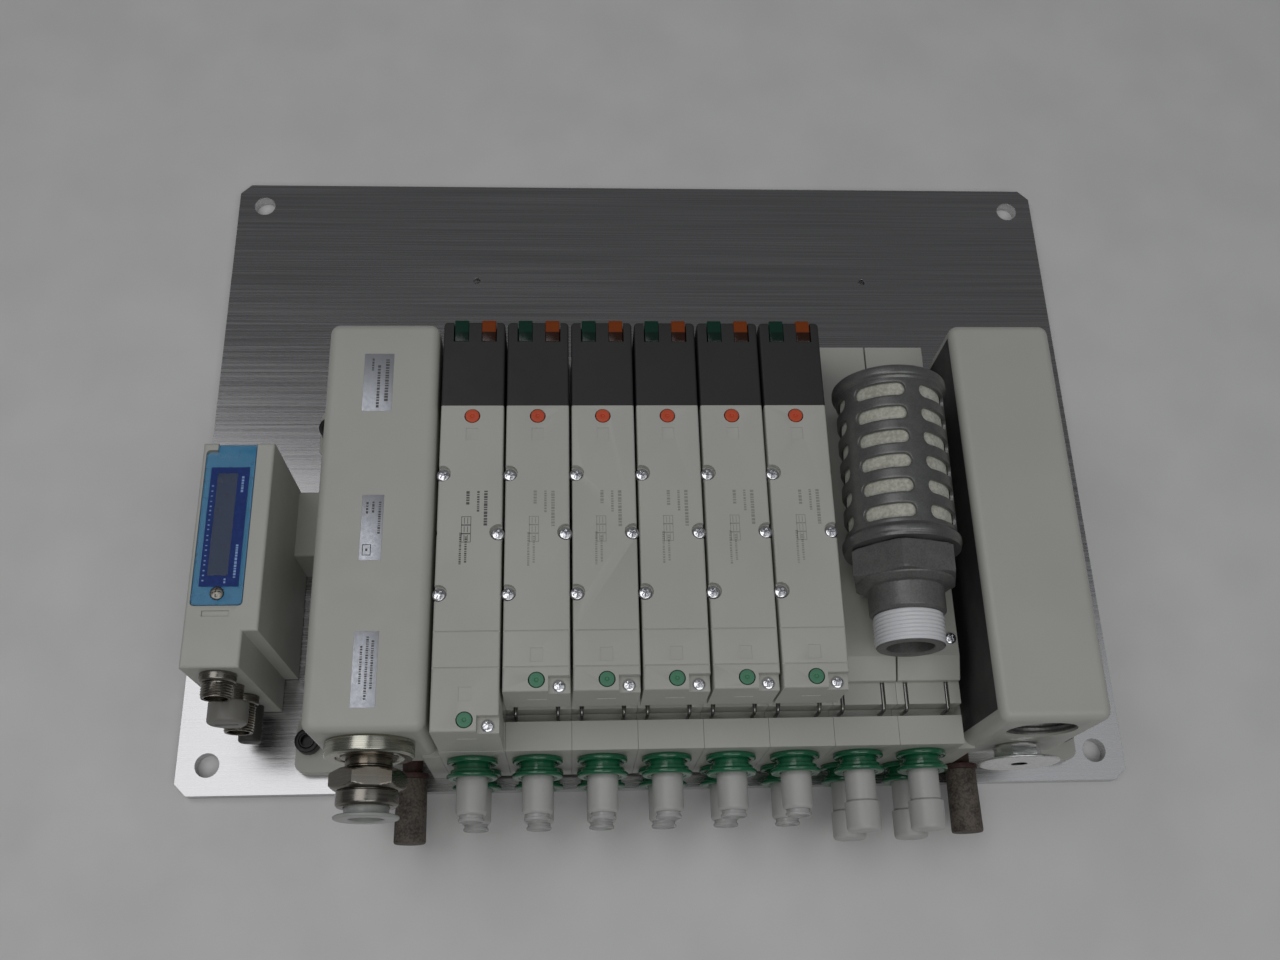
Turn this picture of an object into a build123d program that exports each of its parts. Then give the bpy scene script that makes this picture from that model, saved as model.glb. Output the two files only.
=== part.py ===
"""Pneumatic valve island on a flat mounting plate.

Frame: X to the right along the row of valves, Y towards the rear, Z up, millimetres.
The origin is the centre of the four mounting holes on the underside of the mounting plate.
"""
from math import copysign, cos, radians, sin, sqrt
import os

from build123d import *

os.makedirs("parts", exist_ok=True)

# Mounting plate, with its margins round the pieces it carries
plate_left_space = 20.0
plate_right_space = 23.8
plate_front_space = 5.5
plate_rear_space = 129.0
plate_thickness = 6.0
plate_corner = 5.0
mount_hole_inset = 12.5
mount_hole_radius = 5.0
tapped_hole_radius = 1.65
tapped_hole_end_inset = 5.0
tapped_hole_rear_inset = 55.0

# Row of stations
pitch = 25.0
station_count = 8
valve_count = 6
row_left = -86.9

# Manifold base blocks, heights above the mounting plate
block_foot_gap = 4.0
block_joint = 0.1
lower_port_height = 15.5
port_row_spacing = 27.0
port_cover = 17.5
port_strip_step = 1.7
port_face_y = -144.5
port_strip_depth = 11.0
clip_trough_depth = 4.2
clip_trough_drop = 10.0
block_rear_y = 21.0

# Valves
valve_width = 23.3
valve_height = 35.3
valve_front_y = -130.5
long_valve_extra = 13.8
valve_foot_front_y = -117.5
nose_rise = 10.0
cover_front_y = -18.9
cover_rear_y = 17.8
valve_edge = 0.8
cover_edge = 1.6
seam_width = 0.5
seam_depth = 0.4
seam_rear_y = -108.5
seam_front_y = -121.7
mark_size = (4.4, 5.0)
mark_depth = 0.3
rear_mark_y = -30.9
front_mark_offset = 13.2

# Manual buttons
button_radius = 2.65
button_height = 4.5
button_proud = 0.2
button_travel = 1.5
button_clearance = 0.3
button_floor_gap = 0.5
button_dimple_radius = 0.7
button_dimple_depth = 0.5
rear_button_y = -23.3
front_button_offset = 4.1

# Indicator lamps at the rear top edge of each pilot cover
lamp_width = 5.6
lamp_inset_green = -5.0
lamp_inset_amber = 5.6
lamp_length = 8.6
lamp_drop = 5.0
lamp_pocket_gap = 0.1

# Valve screws
screw_head_radius = 2.5
screw_head_height = 1.5
screw_recess_radius = 3.2
screw_recess_depth = 2.8
screw_side_offset = 10.4
screw_row_y = (-47.2, -70.8, -94.2)
screw_row_side = (-1, 1, -1)
corner_pocket = (7.6, 5.6)
corner_pocket_depth = 4.0
corner_screw_inset = 2.4
corner_screw_offset = 8.0
corner_screw_radius = 2.3

# Blanking plates
blank_width = 24.5
blank_thickness = 6.4
blank_front_y = -121.0
blank_rear_y = 22.5
blank_slope_length = 9.0
blank_slope_drop = 3.2
blank_screw_y = -105.5
blank_screw_offset = 9.1

# Push-in fittings
port_offset_x = -0.7
collar_radius = 9.75
collar_thickness = 2.2
cartridge_radius = 8.6
cartridge_depth = 12.0
cartridge_floor = 1.0
socket_clearance = 0.1
bush_neck_radius = 7.1
bush_clearance = 0.3
bush_neck_length = 9.0
bush_flange_thickness = 1.8
bush_travel = 2.0
bush_stop_gap = 1.7
stem_radius = 5.9
reducer_length = 13.5
tube_radius = 4.0
tube_socket_depth = 14.0
ring_bore_radius = 4.2
ring_neck_radius = 4.55
ring_neck_depth = 2.5
ring_flange_radius = 5.0
ring_flange_thickness = 1.2
ring_gap = 1.3
ring_clearance = 0.1
plug_stem_length = 11.0
plug_head_radius = 6.75
plug_head_length = 11.2
plug_edge = 0.8

# Wire clips that hold the fittings
wire_radius = 0.7
clip_half_span = 8.0
clip_rear_y = -111.0
clip_bend_radius = 1.4
clip_groove_clearance = 0.15

# End blocks: a rounded box over a base with two feet
box_height = 95.0
box_underside = 36.0
box_front_y = -143.5
box_rear_y = 17.8
box_corner = 4.0
box_top_edge = 3.6
left_box_x = (-131.0, -88.0)
right_box_x = (116.2, 157.2)
base_side_inset = 2.0
base_front_y = -138.0
base_rear_y = 14.0
cheek_height = 48.0
cheek_thickness = 7.0
foot_reach = 19.0
foot_front_reach = 4.5
foot_rear_reach = 7.0
foot_width = 23.0
foot_thickness = 8.0
foot_corner = 4.0
foot_screw_inset = 5.3
foot_screw_side = 12.0
foot_hole_radius = 3.3
foot_head_radius = 5.0
foot_head_height = 6.0
foot_socket_flats = 5.0
foot_socket_depth = 3.0
foot_shank_radius = 3.0
foot_shank_end_gap = 1.0
plate_thread_clearance = 0.05

# Ports on the front of the end blocks
supply_port_height = 75.0
exhaust_port_height = 76.7
big_port_radius = 13.0
big_port_depth = 22.0
supply_bore_radius = 10.4
supply_bore_depth = 15.0
small_port_height = 48.0
small_port_radius = 6.6
small_port_depth = 10.0
port_ring_radius = 16.2
port_ring_length = 6.0
port_ring_edge = 0.6

# Supply fitting
supply_thread_radius = 10.3
supply_neck_radius = 8.5
supply_neck_length = 4.0
supply_hex_flats = 24.0
supply_hex_length = 7.6
supply_hex_turn = -14.6
supply_barrel_radius = 11.1
supply_barrel_length = 5.6
supply_tube_radius = 6.0
supply_socket_depth = 17.0
supply_bush_neck_radius = 8.0
supply_bush_length = 6.0
supply_bush_flange_radius = 11.7
supply_bush_flange_thickness = 1.6
supply_bush_stop_gap = 0.6
supply_bush_clearance = 0.3
supply_bush_travel = 2.0

# Plug in the small port of the right end block
cap_shank_clearance = 0.1
cap_hex_flats = 16.3
cap_hex_length = 6.1
cap_disc_radius = 15.5
cap_disc_thickness = 1.2
cap_socket_flats = 6.0
cap_socket_depth = 3.0

# Sintered pilot silencers
pilot_height = 12.0
pilot_left_x = -101.5
pilot_right_x = 124.3
pilot_neck_radius = 4.1
pilot_base_radius = 6.9
pilot_base_length = 2.0
pilot_neck_length = 6.8
pilot_radius = 6.4
pilot_length = 25.2

# Loose exhaust silencer lying on the blanking plates
silencer_rear_x = 89.9
silencer_rear_y = -8.6
silencer_turn = 1.2
silencer_ring_radius = 22.4
silencer_cage_radius = 21.0
silencer_cage_wall = 1.3
silencer_rear_ring = 5.5
silencer_cage_length = 63.5
silencer_front_ring = 6.3
silencer_ring_inner = 16.0
slot_rows = 6
slot_pitch = 9.5
slots_around = 5
slot_width = 4.7
slot_angle = 57.0
slot_turn = 7.0
element_clearance = 0.3
element_wall = 5.0
body_hex_flats = 38.4
body_hex_length = 9.0
body_shoulder_radius = 16.0
body_shoulder_length = 4.0
body_neck_radius = 14.2
body_neck_length = 6.5
body_thread_radius = 13.1
body_thread_length = 13.6
body_bore_radius = 8.75

# Serial unit
unit_left_x = -180.0
unit_right_x = -152.6
unit_nose_right_x = -158.3
unit_front_y = -115.8
unit_step_y = -102.0
unit_rear_y = -26.0
unit_foot_gap = 1.0
unit_height = 77.0
unit_edge = 1.2
window_x = (-178.2, -159.5)
window_y = (-92.0, -30.3)
window_thickness = 1.8
window_gap = 0.3
window_swing_gap = 1.2
window_corner = 1.5
hinge_notch_left_x = -174.2
hinge_y = -27.7
hinge_drop = 1.7
hinge_radius = 1.35
hinge_pin_radius = 0.6
hinge_pin_length = 1.2
hinge_pin_clearance = 0.08
hinge_notch_depth = 4.0
pocket_depth = 7.6
pocket_ledge = 1.2
window_screw_y = -87.6
window_screw_radius = 2.6
window_screw_height = 1.0
window_shank_radius = 1.3
window_shank_length = 3.6
window_screw_clearance = 0.1
screw_post_radius = 3.2
screw_post_bore = 2.0
finger_notch = (10.0, 2.2, 0.8)
board_thickness = 1.6
switch_size = (5.4, 6.0, 1.2)
switch_pitch = 8.7
switch_count = 3
switch_rear_inset = 10.5
dial_rear_inset = 35.1
dial_radius = 2.2
strip_size = (2.4, 41.0, 0.8)
strip_offset = 4.6

# Round connectors on the front of the serial unit
connector_x = -168.0
first_connector_height = 67.0
connector_pitch = 18.3
connector_radius = 5.9
connector_nut_radius = 6.9
connector_nut_length = 3.6
connector_bore_radius = 4.4
connector_bore_depth = 8.0
short_connector_length = 9.4
long_connector_length = 14.6
stub_radius = 5.2
stub_length = 6.4
cap_radius = 7.6
cap_length = 8.8
cap_slot = (9.0, 1.4, 1.2)
dust_cap_radius = 4.6
dust_cap_length = 15.0

# Link block between the serial unit and the left end block
link_y = (-56.0, -27.0)
link_height = 28.0

# Places that follow from the sizes above
deck = plate_thickness
upper_port_height = lower_port_height + port_row_spacing
seat_height = upper_port_height + port_cover
port_strip_height = seat_height - port_strip_step
clip_trough_floor = seat_height - clip_trough_drop
nose_height = seat_height + nose_rise
valve_top = seat_height + valve_height
valve_stations = range(valve_count)
blank_stations = range(valve_count, station_count)
row_right = row_left + pitch * station_count
left_base_x = (left_box_x[0] + base_side_inset, row_left)
right_base_x = (row_right, right_box_x[1] - base_side_inset)
left_port_x = (left_box_x[0] + left_box_x[1]) / 2
right_port_x = (right_box_x[0] + right_box_x[1]) / 2


def station_x(index):
    """Centre of a station along the row."""
    return row_left + pitch * (index + 0.5)


def front_plane(x, height, y):
    """Plane whose normal points to the front, with its origin above the mounting plate."""
    return Plane(origin=(x, y, deck + height), x_dir=(1, 0, 0), z_dir=(0, -1, 0))


def level_plane(x, y, height):
    """Horizontal plane with its origin above the mounting plate."""
    return Plane(origin=(x, y, deck + height))


def turned(plane, start, length, radius, mode=Mode.ADD):
    """Add or cut a round step that starts at a distance along the plane's normal."""
    with BuildSketch(plane.offset(start)) as disc:
        Circle(radius)
    extrude(disc.sketch, amount=length, mode=mode)


def finish(builder, name):
    """Label a finished piece and write it."""
    builder.part.label = name
    export_step(builder.part, f"parts/{name}.step")


def front_of(index):
    """Front face of a valve: the first one is longer than the others."""
    return valve_front_y - (long_valve_extra if index == 0 else 0.0)


def button_y(row_name, index):
    """Place of a manual button along the depth of its valve."""
    return rear_button_y if row_name == "rear" else front_of(index) + front_button_offset


# Screw places on one valve, as offsets from its station centre
valve_screw_spots = [(side * screw_side_offset, y) for side, y in zip(screw_row_side, screw_row_y)]

upper_ports = [(station_x(i) + port_offset_x, upper_port_height) for i in range(station_count)]
lower_ports = [(station_x(i) + port_offset_x, lower_port_height) for i in range(station_count)]
all_ports = upper_ports + lower_ports
tube_ports = upper_ports[:valve_count] + lower_ports[:valve_count]
plugged_ports = upper_ports[valve_count:] + lower_ports[valve_count:]

foot_rows = (base_front_y - foot_front_reach, base_rear_y + foot_rear_reach - foot_width)
left_foot_x = left_box_x[0] - foot_reach
right_foot_x = right_box_x[1] + foot_reach
foot_screw_places = [
    (x, y + foot_screw_side)
    for x in (left_foot_x + foot_screw_inset, right_foot_x - foot_screw_inset)
    for y in foot_rows
]

# Mounting plate
plate_x = (unit_left_x - plate_left_space, right_foot_x + plate_right_space)
plate_y = (port_face_y - plate_front_space, block_rear_y + plate_rear_space)
plate_length = plate_x[1] - plate_x[0]
plate_depth = plate_y[1] - plate_y[0]
plate_centre = ((plate_x[0] + plate_x[1]) / 2, (plate_y[0] + plate_y[1]) / 2)
tapped_hole_y = plate_y[1] - tapped_hole_rear_inset
with BuildPart() as mounting_plate:
    with BuildSketch():
        with Locations(plate_centre):
            plate_outline = Rectangle(plate_length, plate_depth)
            chamfer(plate_outline.vertices(), plate_corner)
            with GridLocations(
                plate_length - 2 * mount_hole_inset,
                plate_depth - 2 * mount_hole_inset,
                2,
                2,
            ):
                Circle(mount_hole_radius, mode=Mode.SUBTRACT)
        with Locations(
            (row_left + tapped_hole_end_inset, tapped_hole_y),
            (row_right - tapped_hole_end_inset, tapped_hole_y),
        ):
            Circle(tapped_hole_radius, mode=Mode.SUBTRACT)
        with Locations(*foot_screw_places):
            Circle(foot_shank_radius + plate_thread_clearance, mode=Mode.SUBTRACT)
    extrude(amount=plate_thickness)
finish(mounting_plate, "mounting_plate")

# Manifold base block: one shape, repeated along the row
trough_front_y = port_face_y + port_strip_depth
trough_rear_y = trough_front_y + clip_trough_depth
clip_wire_y = (trough_front_y + trough_rear_y) / 2
clip_groove = wire_radius + clip_groove_clearance
clip_wire_height = seat_height - clip_groove
block_width = pitch - block_joint
clip_run = clip_rear_y - trough_rear_y
with BuildPart() as manifold_block:
    with BuildSketch(Plane.YZ.offset(-block_width / 2)):
        with BuildLine():
            Polyline(
                (port_face_y, deck + block_foot_gap),
                (block_rear_y, deck + block_foot_gap),
                (block_rear_y, deck + seat_height),
                (trough_rear_y, deck + seat_height),
                (trough_rear_y, deck + clip_trough_floor),
                (trough_front_y, deck + clip_trough_floor),
                (trough_front_y, deck + port_strip_height),
                (port_face_y, deck + port_strip_height),
                close=True,
            )
        make_face()
    extrude(amount=block_width)
    with BuildSketch(front_plane(0, 0, port_face_y)):
        with Locations(
            (port_offset_x, upper_port_height),
            (port_offset_x, lower_port_height),
        ):
            Circle(cartridge_radius + socket_clearance)
    extrude(amount=-cartridge_depth, mode=Mode.SUBTRACT)
    with BuildSketch(level_plane(port_offset_x, 0, seat_height)):
        with Locations(
            (-clip_half_span, (clip_rear_y + trough_rear_y) / 2),
            (clip_half_span, (clip_rear_y + trough_rear_y) / 2),
        ):
            Rectangle(2 * clip_groove, clip_run + 2 * clip_groove)
        with Locations((0, clip_rear_y)):
            Rectangle(2 * (clip_half_span + clip_groove), 2 * clip_groove)
    extrude(amount=-2 * clip_groove, mode=Mode.SUBTRACT)

with BuildPart() as manifold_blocks:
    with Locations(*[(station_x(i), 0, 0) for i in range(station_count)]):
        add(manifold_block.part)
finish(manifold_blocks, "manifold_blocks")

# Wire clip: a U of wire that lies in the block's grooves with its two legs bent down
with BuildPart() as fitting_clip:
    with BuildLine():
        FilletPolyline(
            (-clip_half_span, clip_wire_y, deck + clip_trough_floor),
            (-clip_half_span, clip_wire_y, deck + clip_wire_height),
            (-clip_half_span, clip_rear_y, deck + clip_wire_height),
            (clip_half_span, clip_rear_y, deck + clip_wire_height),
            (clip_half_span, clip_wire_y, deck + clip_wire_height),
            (clip_half_span, clip_wire_y, deck + clip_trough_floor),
            radius=clip_bend_radius,
        )
    with BuildSketch(Plane(origin=(-clip_half_span, clip_wire_y, deck + clip_trough_floor))):
        RegularPolygon(wire_radius, 8)
    sweep()

with BuildPart() as fitting_clips:
    with Locations(*[(station_x(i) + port_offset_x, 0, 0) for i in range(station_count)]):
        add(fitting_clip.part)
finish(fitting_clips, "fitting_clips")


def cut_pocket(plane, width, depth, corner_x, corner_y, drop):
    """Cut a rectangular pocket down from a plane, with its lower left corner given."""
    with BuildSketch(plane) as opening:
        with Locations((corner_x, corner_y)):
            Rectangle(width, depth, align=(Align.MIN, Align.MIN))
    extrude(opening.sketch, amount=-drop, mode=Mode.SUBTRACT)


def valve_body(index):
    """One valve body, with its screw recesses, button bores, seams and corner pocket."""
    front_y = front_of(index)
    toe_corners = [
        (trough_front_y, deck + nose_height),
        (trough_front_y, deck + port_strip_height),
        (front_y, deck + port_strip_height),
    ]
    nose_corners = toe_corners if index == 0 else [(front_y, deck + nose_height)]
    top = level_plane(0, 0, valve_top)
    with BuildPart() as body:
        with BuildSketch(Plane.YZ.offset(-valve_width / 2)):
            with BuildLine():
                Polyline(
                    (cover_front_y, deck + seat_height),
                    (valve_foot_front_y, deck + seat_height),
                    (valve_foot_front_y, deck + nose_height),
                    *nose_corners,
                    (front_y, deck + valve_top),
                    (cover_front_y, deck + valve_top),
                    close=True,
                )
            make_face()
        extrude(amount=valve_width)
        long_edges = body.edges().filter_by(Axis.Y).group_by(Axis.Z)[-1]
        front_edge = body.faces().sort_by(Axis.Y)[0].edges().sort_by(Axis.Z)[-1]
        fillet([*long_edges, front_edge], valve_edge)
        with BuildSketch(top):
            with Locations(*valve_screw_spots):
                Circle(screw_recess_radius)
            with Locations(*[(x - copysign(pitch, x), y) for x, y in valve_screw_spots]):
                Circle(screw_recess_radius)
        extrude(amount=-screw_recess_depth, mode=Mode.SUBTRACT)
        with BuildSketch(top):
            with Locations((0, button_y("rear", index)), (0, button_y("front", index))):
                Circle(button_radius + button_clearance)
        extrude(amount=-(button_height + button_travel + button_floor_gap), mode=Mode.SUBTRACT)
        with BuildSketch(top):
            with Locations((0, seam_rear_y), (0, seam_front_y)):
                Rectangle(valve_width, seam_width)
        extrude(amount=-seam_depth, mode=Mode.SUBTRACT)
        with BuildSketch(top):
            with Locations((0, rear_mark_y), (0, front_y + front_mark_offset)):
                Rectangle(*mark_size)
        extrude(amount=-mark_depth, mode=Mode.SUBTRACT)
        cut_pocket(
            top,
            corner_pocket[0],
            corner_pocket[1],
            valve_width / 2 - corner_pocket[0],
            front_y,
            corner_pocket_depth,
        )
    return body.part


valve_shapes = [valve_body(i).moved(Location((station_x(i), 0, 0))) for i in valve_stations]
with BuildPart() as valve_bodies:
    for valve_shape in valve_shapes:
        add(valve_shape)
finish(valve_bodies, "valve_bodies")

# Pilot cover: the dark cap at the rear of a valve, with pockets for its two lamps
lamp_offsets = (lamp_inset_green, lamp_inset_amber)
with BuildPart() as pilot_cover:
    with BuildSketch(Plane.YZ.offset(-valve_width / 2)):
        with BuildLine():
            Polyline(
                (cover_front_y, deck + seat_height),
                (cover_rear_y, deck + seat_height),
                (cover_rear_y, deck + valve_top),
                (cover_front_y, deck + valve_top),
                close=True,
            )
        make_face()
    extrude(amount=valve_width)
    rear_face = pilot_cover.faces().sort_by(Axis.Y)[-1]
    fillet(rear_face.edges().filter_by(Axis.Z), cover_edge)
    top_face = pilot_cover.faces().sort_by(Axis.Z)[-1]
    front_edge = top_face.edges().sort_by(Axis.Y)[0]
    fillet([edge for edge in top_face.edges() if edge != front_edge], valve_edge)
    with BuildSketch(level_plane(0, 0, valve_top)):
        for lamp_offset in lamp_offsets:
            with Locations((lamp_offset, cover_rear_y)):
                Rectangle(
                    lamp_width + 2 * lamp_pocket_gap,
                    2 * (lamp_length + lamp_pocket_gap),
                )
    extrude(amount=-(lamp_drop + lamp_pocket_gap), mode=Mode.SUBTRACT)

with BuildPart() as pilot_covers:
    with Locations(*[(station_x(i), 0, 0) for i in valve_stations]):
        add(pilot_cover.part)
finish(pilot_covers, "pilot_covers")

# Indicator lamp: a clear block let into the pilot cover's rear top edge
with BuildPart() as lamp:
    with BuildSketch(level_plane(0, 0, valve_top - lamp_drop)):
        with Locations((0, cover_rear_y)):
            Rectangle(lamp_width, lamp_length, align=(Align.CENTER, Align.MAX))
    extrude(amount=lamp_drop)
    fillet(lamp.faces().sort_by(Axis.Y)[-1].edges().sort_by(Axis.Z)[-1], valve_edge)

for lamp_name, lamp_offset in zip(("lamp_windows_green", "lamp_windows_amber"), lamp_offsets):
    with BuildPart() as lamp_windows:
        with Locations(*[(station_x(i) + lamp_offset, 0, 0) for i in valve_stations]):
            add(lamp.part)
    finish(lamp_windows, lamp_name)

# Blanking plate, with a slope down to its front edge
with BuildPart() as blanking_plate:
    with BuildSketch(Plane.YZ.offset(-blank_width / 2)):
        with BuildLine():
            Polyline(
                (blank_front_y, deck + seat_height),
                (blank_rear_y, deck + seat_height),
                (blank_rear_y, deck + seat_height + blank_thickness),
                (blank_front_y + blank_slope_length, deck + seat_height + blank_thickness),
                (blank_front_y, deck + seat_height + blank_thickness - blank_slope_drop),
                close=True,
            )
        make_face()
    extrude(amount=blank_width)

with BuildPart() as blanking_plates:
    with Locations(*[(station_x(i), 0, 0) for i in blank_stations]):
        add(blanking_plate.part)
finish(blanking_plates, "blanking_plates")

# Screws on the valves and the blanking plates
recess_floor = valve_top - screw_recess_depth
corner_floor = valve_top - corner_pocket_depth
with BuildPart() as valve_screws:
    for i in valve_stations:
        with BuildSketch(level_plane(station_x(i), 0, recess_floor)):
            with Locations(*valve_screw_spots):
                Circle(screw_head_radius)
        extrude(amount=screw_head_height)
        with BuildSketch(level_plane(station_x(i), front_of(i), corner_floor)):
            with Locations((corner_screw_offset, corner_screw_inset)):
                Circle(corner_screw_radius)
        extrude(amount=screw_head_height)
    for i in blank_stations:
        with BuildSketch(level_plane(station_x(i), 0, seat_height + blank_thickness)):
            with Locations((blank_screw_offset, blank_screw_y)):
                Circle(corner_screw_radius)
        extrude(amount=screw_head_height)
finish(valve_screws, "valve_screws")

# Manual buttons: rear row orange, front row green
for row_name in ("rear", "front"):
    for i in valve_stations:
        button_top = level_plane(station_x(i), button_y(row_name, i), valve_top + button_proud)
        with BuildPart() as manual_button:
            turned(button_top, -button_height, button_height, button_radius)
            turned(
                button_top,
                -button_dimple_depth,
                button_dimple_depth,
                button_dimple_radius,
                mode=Mode.SUBTRACT,
            )
        finish(manual_button, f"{row_name}_button_{i + 1}")

# Fitting cartridge: a cup pressed into the block, with the fixed rear collar
port_plane = front_plane(0, 0, port_face_y)
bush_bore_radius = bush_neck_radius + bush_clearance
with BuildPart() as fitting_body:
    turned(port_plane, -cartridge_depth, cartridge_depth, cartridge_radius)
    turned(port_plane, 0, collar_thickness, collar_radius)
    turned(
        port_plane,
        cartridge_floor - cartridge_depth,
        cartridge_depth - cartridge_floor + collar_thickness,
        bush_bore_radius,
        mode=Mode.SUBTRACT,
    )

with BuildPart() as fitting_bodies:
    with Locations(*[(x, 0, height) for x, height in all_ports]):
        add(fitting_body.part)
finish(fitting_bodies, "fitting_bodies")

# Release bush: slides into its fitting when its flange is pushed
bush_flange_back = collar_thickness + bush_travel + bush_stop_gap
bush_front = bush_flange_back + bush_flange_thickness
for row_name, row_ports in (("upper", upper_ports), ("lower", lower_ports)):
    for i, (port_x, port_height) in enumerate(row_ports):
        bush_plane = front_plane(port_x, port_height, port_face_y)
        bush_back = bush_flange_back - bush_neck_length
        with BuildPart() as release_bush:
            turned(bush_plane, bush_back, bush_neck_length, bush_neck_radius)
            turned(bush_plane, bush_flange_back, bush_flange_thickness, collar_radius)
            turned(
                bush_plane,
                bush_back,
                bush_neck_length + bush_flange_thickness,
                stem_radius + bush_clearance,
                mode=Mode.SUBTRACT,
            )
        finish(release_bush, f"{row_name}_bush_{i + 1}")

# Tube reducer: a stem pushed into the fitting, with a smaller tube socket at its front
stem_start = cartridge_floor - cartridge_depth
reducer_front = bush_front + reducer_length
with BuildPart() as tube_reducer:
    turned(port_plane, stem_start, reducer_front - stem_start, stem_radius)
    turned(
        port_plane,
        reducer_front - tube_socket_depth,
        tube_socket_depth,
        tube_radius,
        mode=Mode.SUBTRACT,
    )
    turned(
        port_plane,
        reducer_front - ring_neck_depth,
        ring_neck_depth,
        ring_neck_radius + ring_clearance,
        mode=Mode.SUBTRACT,
    )

with BuildPart() as tube_reducers:
    with Locations(*[(x, 0, height) for x, height in tube_ports]):
        add(tube_reducer.part)
finish(tube_reducers, "tube_reducers")

ring_neck_start = reducer_front - ring_neck_depth
ring_flange_start = reducer_front + ring_gap
with BuildPart() as reducer_ring:
    turned(port_plane, ring_neck_start, ring_neck_depth + ring_gap, ring_neck_radius)
    turned(port_plane, ring_flange_start, ring_flange_thickness, ring_flange_radius)
    turned(
        port_plane,
        ring_neck_start,
        ring_neck_depth + ring_gap + ring_flange_thickness,
        ring_bore_radius,
        mode=Mode.SUBTRACT,
    )

with BuildPart() as reducer_rings:
    with Locations(*[(x, 0, height) for x, height in tube_ports]):
        add(reducer_ring.part)
finish(reducer_rings, "reducer_rings")

# Port plug: closes a fitting that has no tube
with BuildPart() as port_plug:
    turned(port_plane, stem_start, bush_front + plug_stem_length - stem_start, stem_radius)
    turned(port_plane, bush_front + plug_stem_length, plug_head_length, plug_head_radius)
    plug_end = port_plug.faces().sort_by(Axis.Y)[0]
    fillet(plug_end.edges(), plug_edge)

with BuildPart() as port_plugs:
    with Locations(*[(x, 0, height) for x, height in plugged_ports]):
        add(port_plug.part)
finish(port_plugs, "port_plugs")


def end_block_form(box_x, base_x, foot_x, cheek_x):
    """Box with rounded edges on a set-back base, two feet and a cheek against the row.

    It adds to the part block that is open, so the caller cuts the ports in it.
    """
    box_centre = ((box_x[0] + box_x[1]) / 2, (box_front_y + box_rear_y) / 2)
    with BuildSketch(level_plane(*box_centre, box_underside)) as box_outline:
        RectangleRounded(box_x[1] - box_x[0], box_rear_y - box_front_y, box_corner)
    box = extrude(box_outline.sketch, amount=box_height - box_underside)
    fillet(box.faces().sort_by(Axis.Z)[-1].edges(), box_top_edge)
    base_centre = ((base_x[0] + base_x[1]) / 2, (base_front_y + base_rear_y) / 2)
    with BuildSketch(level_plane(*base_centre, 0)) as base_outline:
        Rectangle(base_x[1] - base_x[0], base_rear_y - base_front_y)
    extrude(base_outline.sketch, amount=box_underside)
    cheek_centre = ((cheek_x[0] + cheek_x[1]) / 2, (port_face_y + block_rear_y) / 2)
    with BuildSketch(level_plane(*cheek_centre, 0)) as cheek_outline:
        Rectangle(cheek_x[1] - cheek_x[0], block_rear_y - port_face_y)
    extrude(cheek_outline.sketch, amount=cheek_height)
    inner_x = foot_x + copysign(foot_reach + base_side_inset + foot_corner, box_centre[0] - foot_x)
    for foot_y in foot_rows:
        foot_centre = ((foot_x + inner_x) / 2, foot_y + foot_width / 2)
        with BuildSketch(level_plane(*foot_centre, 0)) as foot_outline:
            RectangleRounded(abs(inner_x - foot_x), foot_width, foot_corner)
        extrude(foot_outline.sketch, amount=foot_thickness)


def foot_holes():
    """Through holes for the foot screws, in the part block that is open."""
    with BuildSketch(level_plane(0, 0, 0)) as holes:
        with Locations(*foot_screw_places):
            Circle(foot_hole_radius)
    extrude(holes.sketch, amount=foot_thickness, mode=Mode.SUBTRACT)


left_big_port = front_plane(left_port_x, supply_port_height, box_front_y)
right_big_port = front_plane(right_port_x, exhaust_port_height, box_front_y)
small_port = front_plane(right_port_x, small_port_height, box_front_y)

with BuildPart() as left_end_block:
    end_block_form(left_box_x, left_base_x, left_foot_x, (row_left - cheek_thickness, row_left))
    foot_holes()
    turned(left_big_port, -supply_bore_depth, supply_bore_depth, supply_bore_radius, mode=Mode.SUBTRACT)
finish(left_end_block, "left_end_block")

with BuildPart() as right_end_block:
    end_block_form(right_box_x, right_base_x, right_foot_x, (row_right, row_right + cheek_thickness))
    foot_holes()
    turned(right_big_port, -big_port_depth, big_port_depth, big_port_radius, mode=Mode.SUBTRACT)
    turned(small_port, -small_port_depth, small_port_depth, small_port_radius, mode=Mode.SUBTRACT)
finish(right_end_block, "right_end_block")

# Foot screws: socket-head screws through the feet into the mounting plate
with BuildPart() as foot_screws:
    with BuildSketch(level_plane(0, 0, foot_thickness)):
        with Locations(*foot_screw_places):
            Circle(foot_head_radius)
    extrude(amount=foot_head_height)
    with BuildSketch(level_plane(0, 0, foot_thickness)):
        with Locations(*foot_screw_places):
            Circle(foot_shank_radius)
    extrude(amount=-(foot_thickness + plate_thickness - foot_shank_end_gap))
    with BuildSketch(level_plane(0, 0, foot_thickness + foot_head_height)):
        with Locations(*foot_screw_places):
            RegularPolygon(foot_socket_flats / sqrt(3), 6)
    extrude(amount=-foot_socket_depth, mode=Mode.SUBTRACT)
finish(foot_screws, "foot_screws")

# Metal ring round the left port
with BuildPart() as supply_port_ring:
    turned(left_big_port, 0, port_ring_length, port_ring_radius)
    ring_front = supply_port_ring.faces().sort_by(Axis.Y)[0]
    chamfer(ring_front.edges(), port_ring_edge)
    turned(left_big_port, 0, port_ring_length, supply_bore_radius, mode=Mode.SUBTRACT)
finish(supply_port_ring, "supply_port_ring")

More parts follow.
